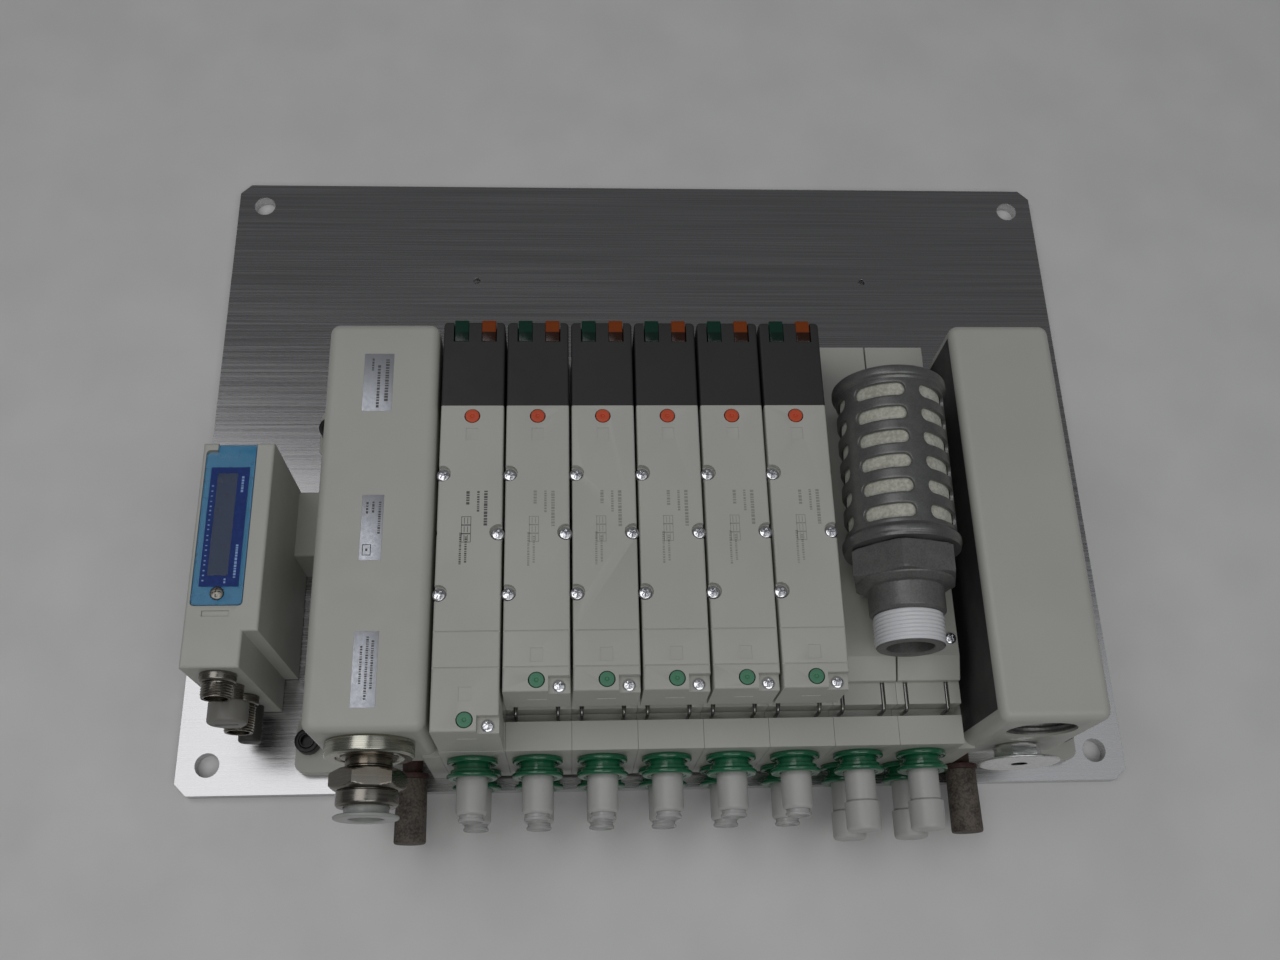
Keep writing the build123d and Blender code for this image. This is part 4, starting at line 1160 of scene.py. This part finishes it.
@dataclass
class Fittings:
    """Push-in fittings along the front: cartridges, release bushes, reducers with their rings, plugs."""

    row: Row
    face: float = -144.5
    heights: tuple[float, float] = (48.5, 21.5)
    segments: int = 56

    def spots(self, first: int, last: int) -> list[Point]:
        """Port places of a run of stations, upper and lower."""
        return [
            (x + self.row.port_offset, self.face, z)
            for z in self.heights for x in self.row.centres(first, last)
        ]

    def laid(self, corners: Sequence[Sequence[float]]) -> Shell:
        """A turned piece that points to the front from the ports' face."""
        return facing_front(turned_piece(corners, self.segments))

    def build(self) -> None:
        """Build one of each kind and repeat it along the row."""
        everywhere, tubes = self.spots(0, self.row.stations), self.spots(0, self.row.valves)
        cartridge = self.laid([
            (0, -12, 0), (8.6, -12, 0), (8.6, 0, 0), (9.3, 0, 0.1), (9.75, 0.5, 0.3), (9.75, 1.7, 0.4),
            (9.2, 2.2, 0.3), (7.9, 2.2, 0.2), (7.4, 1.8, 0.1), (7.4, -11, 0), (0, -11, 0),
        ])
        make_piece("cartridges", cartridge.at_each(everywhere), GREEN_GLOSS, stands_for=["fitting_bodies"])
        self.build_bushes()
        reducer = self.laid([
            (0, -11, 0), (5.6, -11, 0.4), (5.9, -10.4, 0.2), (5.9, 8.6, 0), (5.95, 8.8, 0.1), (5.95, 10.6, 0.1),
            (5.9, 10.8, 0), (5.9, 20.2, 0.5), (5.2, 21.2, 0.3), (4.65, 21.2, 0.15), (4.65, 18.7, 0), (4.0, 18.7, 0),
            (4.0, 7.2, 0), (0, 7.2, 0),
        ])
        make_piece("reducers", reducer.at_each(tubes), MILKY_WHITE, stands_for=["tube_reducers"])
        ring = self.laid([
            (4.2, 18.7, 0), (4.55, 18.7, 0), (4.55, 22.3, 0.2), (5.0, 22.6, 0.2), (5.0, 23.5, 0.3),
            (4.6, 23.7, 0.1), (4.2, 23.7, 0.1),
        ])
        make_piece("release_rings", ring.at_each(tubes), CLEAR_RING, stands_for=["reducer_rings"])
        plug = self.laid([
            (0, -11, 0), (5.6, -11, 0.4), (5.9, -10.4, 0.2), (5.9, 18.3, 0), (5.6, 18.5, 0.1), (5.6, 18.8, 0.1),
            (6.5, 18.8, 0.25), (6.75, 19.2, 0.1), (6.65, 29.2, 0.9), (5.6, 29.9, 0.4), (0, 29.9, 0),
        ])
        plugs = self.spots(self.row.valves, self.row.stations)
        make_piece("plugs", plug.at_each(plugs), MILKY_WHITE, stands_for=["port_plugs"])

    def build_bushes(self) -> None:
        """Release bushes: a neck that slides in the cartridge, a step and a broad rim with a groove."""
        bush = self.laid([
            (6.2, -3.1, 0), (7.1, -3.1, 0.1), (7.1, 4.35, 0.1), (8.3, 4.5, 0.15), (8.3, 5.6, 0.1), (9.1, 5.9, 0.2),
            (9.75, 6.2, 0.25), (9.75, 7.2, 0.3), (9.2, 7.7, 0.3), (7.4, 7.7, 0.2), (6.9, 7.3, 0.2), (6.2, 7.3, 0.2),
        ])
        for line, height in zip(("upper", "lower"), self.heights):
            for index, x in enumerate(self.row.centres()):
                node = f"{line}_bush_{index + 1}"
                placed = bush.moved(x + self.row.port_offset, self.face, height)
                make_piece(node + "_turned", placed, GREEN_GLOSS, body=node, stands_for=[node])


class Side(Enum):
    """The two ends of the row, each with the X of its front ports' axis."""

    LEFT = -109.5
    RIGHT = 136.7


@dataclass
class EndBlocks:
    """The two end blocks with their ports, supply fitting, plug, pilot silencers and stickers."""

    front: float = -143.5
    top: float = 101.0
    port_height: float = 81.0
    open_height: float = 82.7
    small_height: float = 54.0
    pilot_front: float = -138.0
    pilot_height: float = 18.0
    pilots: tuple[float, float] = (-101.5, 124.3)
    inner_face: float = 116.2
    foil: float = 0.12
    # Stickers, and the frame's bars, as (x low, y low, x high, y high)
    foils: tuple[tuple[float, float, float, float], ...] = (
        (-116.6, -21.0, -105.3, 3.7), (-114.2, -81.2, -106.2, -55.6), (-114.2, -135.4, -105.4, -108.0),
    )
    # Lines of print: x, start and end along Y, height, seed, stroke lengths
    foil_lines: tuple[tuple[float, float, float, float, int, tuple[float, float]], ...] = (
        (-108.3, 1.5, -17.5, 1.4, 3, (0.5, 1.1)),
        (-111.3, -1.0, -20.0, 1.1, 4, (0.5, 1.1)),
        (-113.6, 2.0, -4.0, 0.8, 5, (0.5, 1.1)),
        (-108.0, -58.0, -72.0, 0.9, 6, (0.3, 0.8)),
        (-110.4, -58.0, -63.0, 0.8, 8, (0.5, 1.1)),
        (-112.6, -58.0, -63.5, 0.8, 9, (0.5, 1.1)),
        (-107.8, -111.0, -129.0, 0.9, 10, (0.3, 0.7)),
        (-109.7, -109.5, -133.0, 0.9, 12, (0.3, 0.7)),
        (-111.7, -113.0, -127.0, 0.8, 13, (0.3, 0.7)),
    )
    foil_frame: tuple[tuple[float, float, float, float], ...] = (
        (-113.2, -79.4, -110.0, -79.1), (-113.2, -75.4, -110.0, -75.1), (-113.2, -79.4, -112.9, -75.1),
        (-110.3, -79.4, -110.0, -75.1), (-112.0, -77.7, -111.2, -76.8),
    )

    def build(self) -> None:
        """Dress the castings and add what is screwed into them."""
        eased_copy("left_end_block", IVORY_PAINT, 0.3)
        eased_copy("right_end_block", IVORY_PAINT, 0.3)
        self.build_supply()
        self.build_open_port()
        self.build_small_plug()
        self.build_pilots()
        self.build_stickers()
        self.build_inner_face_shade()

    def on_axis(self, shell: Shell, side: Side, height: float) -> Shell:
        """Put a piece on the axis of one of the front ports, at a height."""
        return facing_front(shell, side.value, self.front, height)

    def build_supply(self) -> None:
        """Port ring, threaded neck, hexagon, barrel and the release bush of the supply fitting."""
        ring = turned_piece([
            (10.4, 0, 0), (15.6, 0, 0.2), (16.2, 0.6, 0.2), (16.2, 5.3, 0.3), (15.5, 6.0, 0.2), (12.2, 6.0, 0.3),
            (11.8, 5.2, 0.2), (10.4, 5.2, 0),
        ], 72)
        make_piece("supply_ring", self.on_axis(ring, Side.LEFT, self.port_height), YELLOW_NICKEL,
                   stands_for=["supply_port_ring"])
        neck = turned_piece([
            (0, -15, 0), (10.3, -15, 0), (10.3, 5.9, 0.3), (8.5, 6.1, 0), (8.5, 8.8, 0), (7.6, 8.9, 0.2),
            (7.6, 9.6, 0.2), (8.5, 9.8, 0), (8.5, 10.2, 0), (0, 10.2, 0),
        ], 56)
        hexagon = six_sided(24.0, 7.6, 8.32, 0.55, turn=15.4).moved(0, 0, 10.0)
        barrel = turned_piece([
            (6.0, 13.9, 0), (8.35, 13.9, 0), (8.35, 17.4, 0), (10.4, 17.4, 0), (10.4, 17.8, 0),
            (11.1, 18.1, 0.2), (11.1, 22.4, 0.4), (10.3, 23.2, 0.3), (8.3, 23.2, 0.1), (8.3, 14.9, 0), (6.0, 14.9, 0),
        ], 64)
        fitting = together([neck, hexagon, barrel])
        make_piece("supply_fitting_turned", self.on_axis(fitting, Side.LEFT, self.port_height), NICKEL,
                   stands_for=["supply_fitting"])
        bush = turned_piece([
            (6.3, 17.2, 0), (8.0, 17.2, 0.2), (8.0, 25.8, 0.2), (10.9, 25.9, 0.3), (11.7, 26.3, 0.3),
            (11.7, 27.0, 0.3), (11.0, 27.4, 0.2), (6.7, 27.4, 0.3), (6.3, 27.0, 0),
        ], 64)
        make_piece("supply_bush_turned", self.on_axis(bush, Side.LEFT, self.port_height), GREY_BUSH,
                   body="supply_bush", stands_for=["supply_release_bush"])

    def build_open_port(self) -> None:
        """Inside thread of the open port, an inner ring, and a near-black floor that paints the shade deep in the port.
        """
        ridges = thread(12.55, -0.4, 1.8, -15.5, 14.5, 12.98, segments=64)
        ring = turned_piece([(12.9, -15.6, 0), (9.6, -15.6, 0.3), (9.6, -17.2, 0.3), (12.9, -17.2, 0)], 56)
        floor = turned_piece([(0, -21.9, 0), (12.9, -21.9, 0), (12.9, -21.4, 0), (0, -21.4, 0)], 48)
        place = (Side.RIGHT, self.open_height)
        make_piece("port_thread", self.on_axis(together([ridges, ring]), *place), DARK_HOLE)
        # Near-black floor: painted shade at the bottom of the bore.
        make_piece("port_floor_shade", self.on_axis(floor, *place), DEEP_SHADE)

    def build_small_plug(self) -> None:
        """Bright hexagon with bevelled corners, and a pale disc with a six-sided socket."""
        shank = turned_piece([(0, -10, 0), (6.5, -10, 0.2), (6.5, 0.1, 0), (0, 0.1, 0)], 32)
        nut = six_sided(16.3, 6.1, 0.0, 0.5, turn=30)
        place = (Side.RIGHT, self.small_height)
        make_piece("small_plug_nut", self.on_axis(together([shank, nut]), *place), BRIGHT_STEEL,
                   stands_for=["small_port_plug"])
        disc = turned_piece([
            (3.2, 6.1, 0), (15.0, 6.1, 0.2), (15.5, 6.5, 0.2), (15.5, 6.9, 0.2), (14.9, 7.3, 0.2), (4.6, 7.3, 0.2),
            (4.3, 7.0, 0.1), (3.6, 7.3, 0.1), (3.2, 7.3, 0),
        ], 72)
        make_piece("small_plug_disc", self.on_axis(disc, *place), PALE_STEEL)
        socket = six_sided(6.6, 1.0, 3.0, 0.0, both_ends=False, slope=9.0, across=6).moved(0, 0, 6.2)
        floor = turned_piece([(0, 4.3, 0), (3.3, 4.3, 0), (3.3, 4.6, 0), (0, 4.6, 0)], 24)
        make_piece("small_plug_socket", self.on_axis(together([socket, floor]), *place), BLACK_OXIDE)

    def build_pilots(self) -> None:
        """Sintered cups on small reddish bases, one at each side."""
        base = turned_piece([
            (0, 0, 0), (4.1, 0, 0), (4.1, 6.8, 0.1), (6.9, 6.8, 0.3), (6.9, 8.8, 0.3), (0, 8.8, 0),
        ], 40)
        cup = turned_piece([(0, 8.8, 0), (6.1, 8.8, 0.3), (6.4, 33.2, 0), (6.1, 34.0, 0.35), (0, 34.0, 0)], 56, steps=4)
        spots = [(x, self.pilot_front, self.pilot_height) for x in self.pilots]
        make_piece("pilot_cups", facing_front(cup).at_each(spots), SINTERED, stands_for=["pilot_silencers"])
        make_piece("pilot_bases", facing_front(base).at_each(spots), REDDISH)

    def build_inner_face_shade(self) -> None:
        """Near-black slab over the right block's face towards the row, above the blanking plates: painted shade of the
        deep gap between the block and the valves.
        """
        face = slabs([(self.inner_face - 0.05, self.front + 5.0, self.inner_face + 0.05, 13.0)], 54.0, 43.2)
        # The charcoal colour here paints shade over the block's ivory face.
        make_piece("inner_face_painted_shade", face, CHARCOAL)

    def build_stickers(self) -> None:
        """Three foil stickers with strokes and a plain frame, but no words."""
        foils = [
            soft_block((left, front, self.top), (right, rear, self.top + self.foil), 0.05)
            for left, front, right, rear in self.foils
        ]
        make_piece("stickers", together(foils), FOIL)
        lines = [dashes(*line) for line in self.foil_lines]
        ink = np.concatenate(lines + [np.array(self.foil_frame)])
        make_piece("sticker_marks", slabs(ink, 0.02, self.top + 0.121), DARK_INK)


@dataclass
class Silencer:
    """The loose exhaust silencer: slotted cage, felt element, hexagon body and taped thread.

    Along its axis, s = 0 is the rear end. The slots come in equal cells, rows along the axis times
    columns round it, and each cell is a sheet stretched from its slot's outline to its own edge.
    """

    rear: Point = (89.9, -8.6, 94.8)
    turn: float = 1.2
    radius: float = 21.0
    wall: float = 1.3
    ring_radius: float = 22.4
    ring_bore: float = 16.0
    bore: float = 8.75
    rear_ring: float = 5.5
    cage: float = 58.5
    front_ring: float = 5.9
    rows: int = 6
    columns: int = 5
    slot_pitch: float = 9.9
    slot_width: float = 5.6
    slot_angle: float = 56.0
    slot_turn: float = 25.0
    lip: float = 0.35
    flats: float = 37.0
    nut: float = 12.0
    nut_turn: float = 15.0
    shoulder: float = 2.6
    neck: float = 9.7
    sleeve: float = 12.3

    def laid(self, shell: Shell) -> Shell:
        """Lay a piece built along Z on the silencer's axis, which points to the front, slightly turned.

        Args:
            shell: the piece.

        Returns:
            The laid piece.
        """
        turn = np.radians(self.turn)
        side = np.array([np.cos(turn), -np.sin(turn), 0])
        along = np.array([-np.sin(turn), -np.cos(turn), 0])
        up = np.array([0.0, 0.0, 1.0])
        a, b, c = (column[:, None] for column in shell.points.T)
        return Shell(np.array(self.rear) + a * side + b * up + c * along, shell.faces)

    def build(self) -> None:
        """Build the cage, the element and the body."""
        cage = together([self.slotted_wall(), self.end_ring(0.0, self.rear_ring, True),
                         self.end_ring(self.rear_ring + self.cage, self.front_ring, False)])
        make_piece("cage", self.laid(cage), CAST, stands_for=["silencer_cage"], sharp=40)
        inner = self.radius - self.wall - 0.35
        start, end = self.rear_ring, self.rear_ring + self.cage
        felt = turned_piece([(inner - 5, start, 0), (inner, start, 0.5), (inner, end, 0.5), (inner - 5, end, 0)], 72)
        make_piece("felt", self.laid(felt), FELT, stands_for=["silencer_element"])
        self.build_body()

    def slotted_wall(self) -> Shell:
        """All the slot cells, wrapped round the axis.

        In a cell, each edge point E has a nearest point H on the slot's outline, and N points from the
        slot's centre line to H. Steps of the sheet are H + w (E - H) at the outer radius, then a rounded
        lip, the slot's wall at H, and the same way back out at the inner radius.
        """
        half_x = np.pi * self.radius / self.columns
        half_y = self.slot_pitch / 2
        slot_half = np.radians(self.slot_angle / 2) * self.radius - self.slot_width / 2
        edge = self.cell_edge(half_x, half_y)
        spine = np.stack([np.clip(edge[:, 0], -slot_half, slot_half), np.zeros(len(edge))], -1)
        away = edge - spine
        away /= np.linalg.norm(away, axis=1, keepdims=True)
        hole = spine + away * self.slot_width / 2
        bend = np.linspace(0, np.pi / 2, 4)
        steps = [(w, self.lip * (1 - w), 0.0) for w in (1.0, 0.66, 0.33, 0.0)]
        steps += [(0.0, self.lip * (1 - np.sin(b)), -self.lip * (1 - np.cos(b))) for b in bend[1:]]
        steps += [(0.0, 0.0, -self.wall * 0.6), (0.0, 0.0, -self.wall), (1.0, 0.0, -self.wall)]
        sheets = [
            np.concatenate([hole + w * (edge - hole) + away * lift * (w < 1), np.full((len(edge), 1), drop)], 1)
            for w, lift, drop in steps
        ]
        cell = sheet_of(np.stack(sheets), wrap_columns=True)
        middle = self.rear_ring + self.cage / 2
        offsets = [
            (2 * half_x * column, middle + self.slot_pitch * (row - (self.rows - 1) / 2), 0)
            for column in range(self.columns) for row in range(self.rows)
        ]
        flat = together([cell.at_each(offsets), self.margins(half_x, middle)])
        arc, along, drop = flat.points.T
        angle = np.pi / 2 + np.radians(self.slot_turn) + arc / self.radius
        reach = self.radius + drop
        return Shell(np.stack([reach * np.cos(angle), reach * np.sin(angle), along], -1), flat.faces)

    @staticmethod
    def cell_edge(half_x: float, half_y: float, long: int = 24, short: int = 10) -> Array:
        """Points round a rectangle, evenly along each side.

        Args:
            half_x: half its width.
            half_y: half its height.
            long: points along each of the wide sides.
            short: points along each of the others.

        Returns:
            The points, one row each.
        """
        t_long, t_short = np.linspace(-1, 1, long, endpoint=False), np.linspace(-1, 1, short, endpoint=False)
        sides = [
            np.stack([t_long * half_x, np.full(long, -half_y)], -1),
            np.stack([np.full(short, half_x), t_short * half_y], -1),
            np.stack([-t_long * half_x, np.full(long, half_y)], -1),
            np.stack([np.full(short, -half_x), -t_short * half_y], -1),
        ]
        return np.concatenate(sides)

    def margins(self, half_x: float, middle: float, long: int = 24) -> Shell:
        """Plain bands between the outer rows of slots and the end rings.

        Args:
            half_x: half a cell's width round the cage.
            middle: where the slots' middle lies along the axis.
            long: points along each cell.

        Returns:
            The bands, flat, as the cells are.
        """
        arcs = np.linspace(-half_x, 2 * half_x * self.columns - half_x, long * self.columns + 1)
        reach = self.rows * self.slot_pitch / 2
        bands = []
        for near, far in ((middle - reach, self.rear_ring - 0.5), (middle + reach, self.rear_ring + self.cage + 0.5)):
            for drop in (0.0, -self.wall):
                rows = [np.stack([arcs, np.full_like(arcs, y), np.full_like(arcs, drop)], -1) for y in (near, far)]
                bands.append(sheet_of(np.stack(rows)))
        return together(bands)

    def end_ring(self, start: float, length: float, at_rear: bool) -> Shell:
        """Rim of the cage, with a rounded lip and a shallow groove towards the slots.

        Args:
            start: where the ring begins along the axis.
            length: its length.
            at_rear: whether it closes the rear end, else it sits at the hexagon.

        Returns:
            The ring.
        """
        outer, inner = self.ring_radius, self.ring_bore
        end = start + length
        if at_rear:
            corners = [(inner, start, 0.5), (outer - 1.2, start, 0.8), (outer, start + 0.9, 0.7),
                       (outer, end - 1.6, 0.6), (outer - 0.9, end - 0.9, 0.3), (outer - 1.3, end, 0.1),
                       (inner, end, 0)]
        else:
            corners = [(inner, start, 0), (outer - 1.3, start, 0.1), (outer - 0.9, start + 0.8, 0.3),
                       (outer, start + 1.6, 0.6), (outer, end - 2.2, 0.5), (outer - 0.5, end - 1.6, 0.3),
                       (outer - 0.5, end - 0.4, 0.3), (inner, end, 0)]
        return turned_piece(corners, 96)

    def build_body(self) -> None:
        """Hexagon with turned bevels, shoulder, neck, and the thread under its white tape."""
        start = self.rear_ring + self.cage + self.front_ring
        step = start + self.nut
        neck_start = step + self.shoulder
        tip = neck_start + self.neck
        end = tip + self.sleeve
        bore = self.bore
        nut = six_sided(self.flats, self.nut, bore, 0.1, turn=self.nut_turn, slope=0.25, across=20).moved(0, 0, start)
        shoulder = turned_piece([
            (bore, step - 0.1, 0), (18.4, step - 0.1, 0), (18.2, step + 0.5, 0.4), (15.6, neck_start - 0.3, 0.5),
            (14.2, neck_start, 0.3), (14.2, tip - 0.9, 0.3), (13.2, tip, 0.2), (bore, tip, 0),
        ], 80)
        sleeve = turned_piece([
            (bore, tip - 0.1, 0), (12.7, tip - 0.1, 0), (12.7, end - 0.4, 0.2), (12.2, end, 0.2),
            (9.3, end, 0.4), (bore, end - 0.5, 0.1),
        ], 64)
        body = together([nut, shoulder, sleeve])
        make_piece("silencer_nut", self.laid(body), DARK_CAST, stands_for=["silencer_body"])
        tape = thread(13.1, 0.32, 1.45, tip + 0.4, self.sleeve - 0.9, 12.2, segments=72, samples=7)
        make_piece("taped_thread", self.laid(tape), TAPE)


@dataclass
class SerialUnit:
    """Serial unit: housing, switch board, hinged blue window and the round connectors."""

    top: float = 83.0
    front: float = -115.8
    column: float = -168.0
    heights: tuple[float, ...] = (73.0, 54.7, 36.4, 18.1)
    switch_x: float = -168.85
    switch_rows: tuple[float, ...] = (-42.0, -50.7, -59.4)
    dial_y: float = -66.6
    switch: tuple[float, float] = (2.4, 2.7)
    short: float = 9.4
    long: float = 14.6
    pin_circle: float = 1.9

    def build(self) -> None:
        """Dress the housing and build the window, the board and the connectors."""
        eased_copy("serial_housing", IVORY_PLASTIC, 0.3)
        eased_copy("window_cover", WINDOW, 0.25, body="window")
        self.build_window_print()
        self.build_screw()
        self.build_board()
        self.build_connectors()

    def build_window_print(self) -> None:
        """Dark blue field on the cover with a smoked strip over the switches, and pale marks."""
        level, thin = self.top + 0.04, 0.04
        left, right, front, rear = -175.9, -161.2, -85.0, -36.5
        open_left, open_right, open_front, open_rear = -173.2, -165.6, -80.6, -39.0
        frame_bars = [
            (left, front, open_left, rear), (open_right, front, right, rear),
            (open_left, front, open_right, open_front), (open_left, open_rear, open_right, rear),
        ]
        make_piece("window_print", slabs(frame_bars, thin, level), FIELD_BLUE, body="window")
        gap = 0.02
        strip = slabs([(open_left + gap, open_front + gap, open_right - gap, open_rear - gap)], thin, level)
        make_piece("window_strip", strip, SMOKED, body="window")
        marks = np.concatenate([
            dashes(-163.9, -40.0, -47.5, 0.9, 21, (0.5, 1.0)), dashes(-163.6, -68.0, -82.0, 0.9, 22),
            dashes(-175.0, -42.0, -83.0, 0.7, 23, (0.3, 0.6), 1.6), dashes(-166.9, -81.5, -84.4, 0.7, 24),
        ])
        make_piece("window_strokes", slabs(marks, 0.02, level + thin + 0.002), FIELD_MARK, body="window")

    def build_screw(self) -> None:
        """Captive cross-head screw of the cover."""
        low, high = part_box("window_screw")
        x, y = (low.x + high.x) / 2 / MM, (low.y + high.y) / 2 / MM
        head = cross_head(2.6, 1.0, sink=0.6).moved(x, y, self.top)
        shank = turned_piece([(0, -5.1, 0), (1.3, -5.1, 0.2), (1.3, 0.05, 0), (0, 0.05, 0)], 24).moved(x, y, self.top)
        make_piece("window_screw_turned", together([head, shank]), NICKEL, body="window", stands_for=["window_screw"])

    def build_board(self) -> None:
        """Dark board with pale switches and a dial."""
        eased_copy("switch_board", BOARD, 0.1)
        low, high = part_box("switch_board")
        level = high.z / MM
        x, (across, deep) = self.switch_x, self.switch
        faces = [
            soft_block((x - across, y - deep, level - 0.5), (x + across, y + deep, level + 0.05), 0.2)
            for y in self.switch_rows
        ]
        make_piece("switch_faces", together(faces), SWITCH_FACE)
        dial = turned_piece([
            (0, -0.5, 0), (1.9, -0.5, 0), (1.9, 0.1, 0.15), (0.9, 0.1, 0.1), (0.7, -0.1, 0.05), (0, -0.1, 0),
        ], 32).moved(self.switch_x, self.dial_y, level)
        make_piece("dial_face", dial, DIAL_FACE)

    def placed(self, shell: Shell, line: int) -> Shell:
        """Put a piece on the axis of one of the four places on the front, counted from the top."""
        return facing_front(shell, self.column, self.front, self.heights[line])

    def build_connectors(self) -> None:
        """Two open round connectors, a closing cap with a slot, and a dust cap."""
        stub = turned_piece([(0, 0, 0), (5.2, 0, 0), (5.2, 6.4, 0.2), (0, 6.4, 0)], 40)
        sockets = ((self.short, 0), (self.long, 2))
        shells = [self.placed(self.connector(length), line) for length, line in sockets]
        make_piece("connector_shells", together(shells + [self.placed(stub, 1)]), NICKEL,
                   stands_for=["serial_connectors"])
        cores = []
        for length, line in sockets:
            core = turned_piece([
                (0, length - 7.9, 0), (4.35, length - 7.9, 0), (4.35, length - 5.2, 0.2), (0, length - 5.2, 0),
            ], 32)
            cores.append(self.placed(core, line))
        make_piece("connector_cores", together(cores), DARK_CAP)
        pin = turned_piece([(0, 0, 0), (0.45, 0, 0), (0.45, 3.6, 0.25), (0, 3.8, 0)], 12)
        angles = np.radians([45, 135, 225, 315])
        ring = [(self.pin_circle * np.cos(a), self.pin_circle * np.sin(a)) for a in angles]
        pins = [self.placed(pin.moved(a, b, length - 5.3), line) for length, line in sockets for a, b in ring]
        make_piece("connector_pins", together(pins), BRASS_PIN)
        cap = turned_piece([
            (0, 6.4, 0), (7.2, 6.4, 0.3), (7.6, 7.0, 0.2), (7.6, 14.4, 0.6), (6.6, 15.2, 0.4), (0, 15.2, 0),
        ], 64)
        bar = soft_block((-4.5, -0.7, 14.9), (4.5, 0.7, 15.205), 0.1)
        make_piece("closing_cap", self.placed(cap, 1), GREY_CAP, stands_for=["connector_caps"])
        # Near-black bar on the cap's end: painted shade of its slot.
        make_piece("cap_slot_shade", self.placed(bar, 1), DEEP_SHADE)
        dust = turned_piece([
            (0, 0, 0), (4.6, 0, 0), (4.6, 14.2, 0.5), (3.9, 15.0, 0.4), (0, 15.0, 0),
        ], 40)
        make_piece("dust_cap", self.placed(dust, 3), DARK_CAP)

    @staticmethod
    def connector(length: float) -> Shell:
        """Round connector: a plain nut, a threaded barrel and an open end.

        Args:
            length: from the housing's front to the open end.

        Returns:
            The connector, built along Z.
        """
        nut = turned_piece([
            (4.4, 0, 0), (6.7, 0, 0.2), (6.9, 0.4, 0.2), (6.9, 3.0, 0.3), (6.3, 3.6, 0.2), (4.4, 3.6, 0),
        ], 56)
        barrel = turned_piece([
            (0, 3.0, 0), (5.3, 3.0, 0), (5.3, length - 0.1, 0), (4.4, length - 0.1, 0), (4.4, length - 8.0, 0),
            (0, length - 8.0, 0),
        ], 48)
        ridges = thread(5.9, 0.45, 1.0, 3.5, length - 3.5, 5.2, segments=48)
        return together([nut, barrel, ridges])


# ---- Studio ----


@dataclass(frozen=True)
class SoftLight:
    """A rectangular light in metres and watts, which looks at the middle of the row."""

    name: str
    place: Point
    size: tuple[float, float]
    power: float
    colour: Colour


@dataclass
class Studio:
    """Pale floor, soft lights and the camera at the photograph's view."""

    eye: Point = (-0.03782, -0.23244, 0.54062)
    right: Point = (0.99837060, -0.02613211, 0.05072723)
    down: Point = (-0.00469287, -0.92356507, -0.38341302)
    forward: Point = (0.05686929, 0.38255023, -0.92218285)
    lens: float = 35.439
    sensor: float = 36.0
    floor_size: float = 6.0
    floor_tone: float = 0.72
    surround: float = 0.09
    lights: tuple[SoftLight, ...] = (
        SoftLight("key", (-0.55, 0.10, 1.50), (0.95, 0.95), 4.2, (1.0, 0.99, 1.0)),
        SoftLight("fill", (0.60, -0.10, 1.50), (0.9, 0.9), 1.3, (0.96, 0.98, 1.0)),
        SoftLight("front", (0.20, -1.00, 1.60), (1.6, 0.8), 7.0, (1.0, 1.0, 0.98)),
    )

    def build(self) -> None:
        """Set up the floor, the lights, the world and the camera."""
        self.build_floor()
        self.build_camera()
        self.build_world()
        for light in self.lights:
            self.build_light(light)
        view = bpy.context.scene.view_settings
        view.view_transform = "Standard"
        view.look = "None"

    def build_floor(self) -> None:
        """A wide pale sheet under the plate."""
        half = self.floor_size / 2
        mesh = bpy.data.meshes.new("floor")
        mesh.from_pydata([(-half, -half, 0), (half, -half, 0), (half, half, 0), (-half, half, 0)], [], [(0, 1, 2, 3)])
        finish = Moulded("floor", (self.floor_tone,) * 3, 0.45, grain=60.0, depth=0.0, name="floor")
        mesh.materials.append(finish.material())
        floor = bpy.data.objects.new("floor", mesh)
        bpy.context.scene.collection.objects.link(floor)

    def build_camera(self) -> None:
        """The camera's axes come from a fit to the plate's corners and the row's stations."""
        data = bpy.data.cameras.new("camera")
        data.lens = self.lens
        data.sensor_width = self.sensor
        camera = bpy.data.objects.new("camera", data)
        axes = np.stack([self.right, -np.array(self.down), -np.array(self.forward)], 1)
        matrix = np.eye(4)
        matrix[:3, :3], matrix[:3, 3] = axes, self.eye
        camera.matrix_world = Matrix(matrix.tolist())
        bpy.context.scene.collection.objects.link(camera)
        bpy.context.scene.camera = camera

    def build_world(self) -> None:
        """Even dim surround."""
        world = bpy.data.worlds.new("studio")
        world.use_nodes = True
        background = world.node_tree.nodes["Background"]
        background.inputs["Color"].default_value = (0.97, 0.98, 1.0, 1.0)
        background.inputs["Strength"].default_value = self.surround
        bpy.context.scene.world = world

    @staticmethod
    def build_light(light: SoftLight) -> None:
        """Set up one soft light.

        Args:
            light: its name, place, size, power and colour.
        """
        data = bpy.data.lights.new(light.name, "AREA")
        data.shape = "RECTANGLE"
        data.size, data.size_y = light.size
        data.energy = light.power
        data.color = light.colour
        lamp = bpy.data.objects.new(light.name, data)
        lamp.location = light.place
        direction = -np.array(light.place) / np.linalg.norm(light.place)
        lamp.rotation_mode = "QUATERNION"
        lamp.rotation_quaternion = Vector(direction).to_track_quat("-Z", "Y")
        bpy.context.scene.collection.objects.link(lamp)


def main() -> None:
    """Build the sub-assemblies in order."""
    logging.basicConfig(level=logging.INFO, format="%(name)s: %(message)s")
    row = Row()
    for part in (Studio(), Base(row), Valves(row), Fittings(row), EndBlocks(), Silencer(), SerialUnit()):
        part.build()
        log.info("built %s", type(part).__name__)


if __name__ == "__main__":
    main()
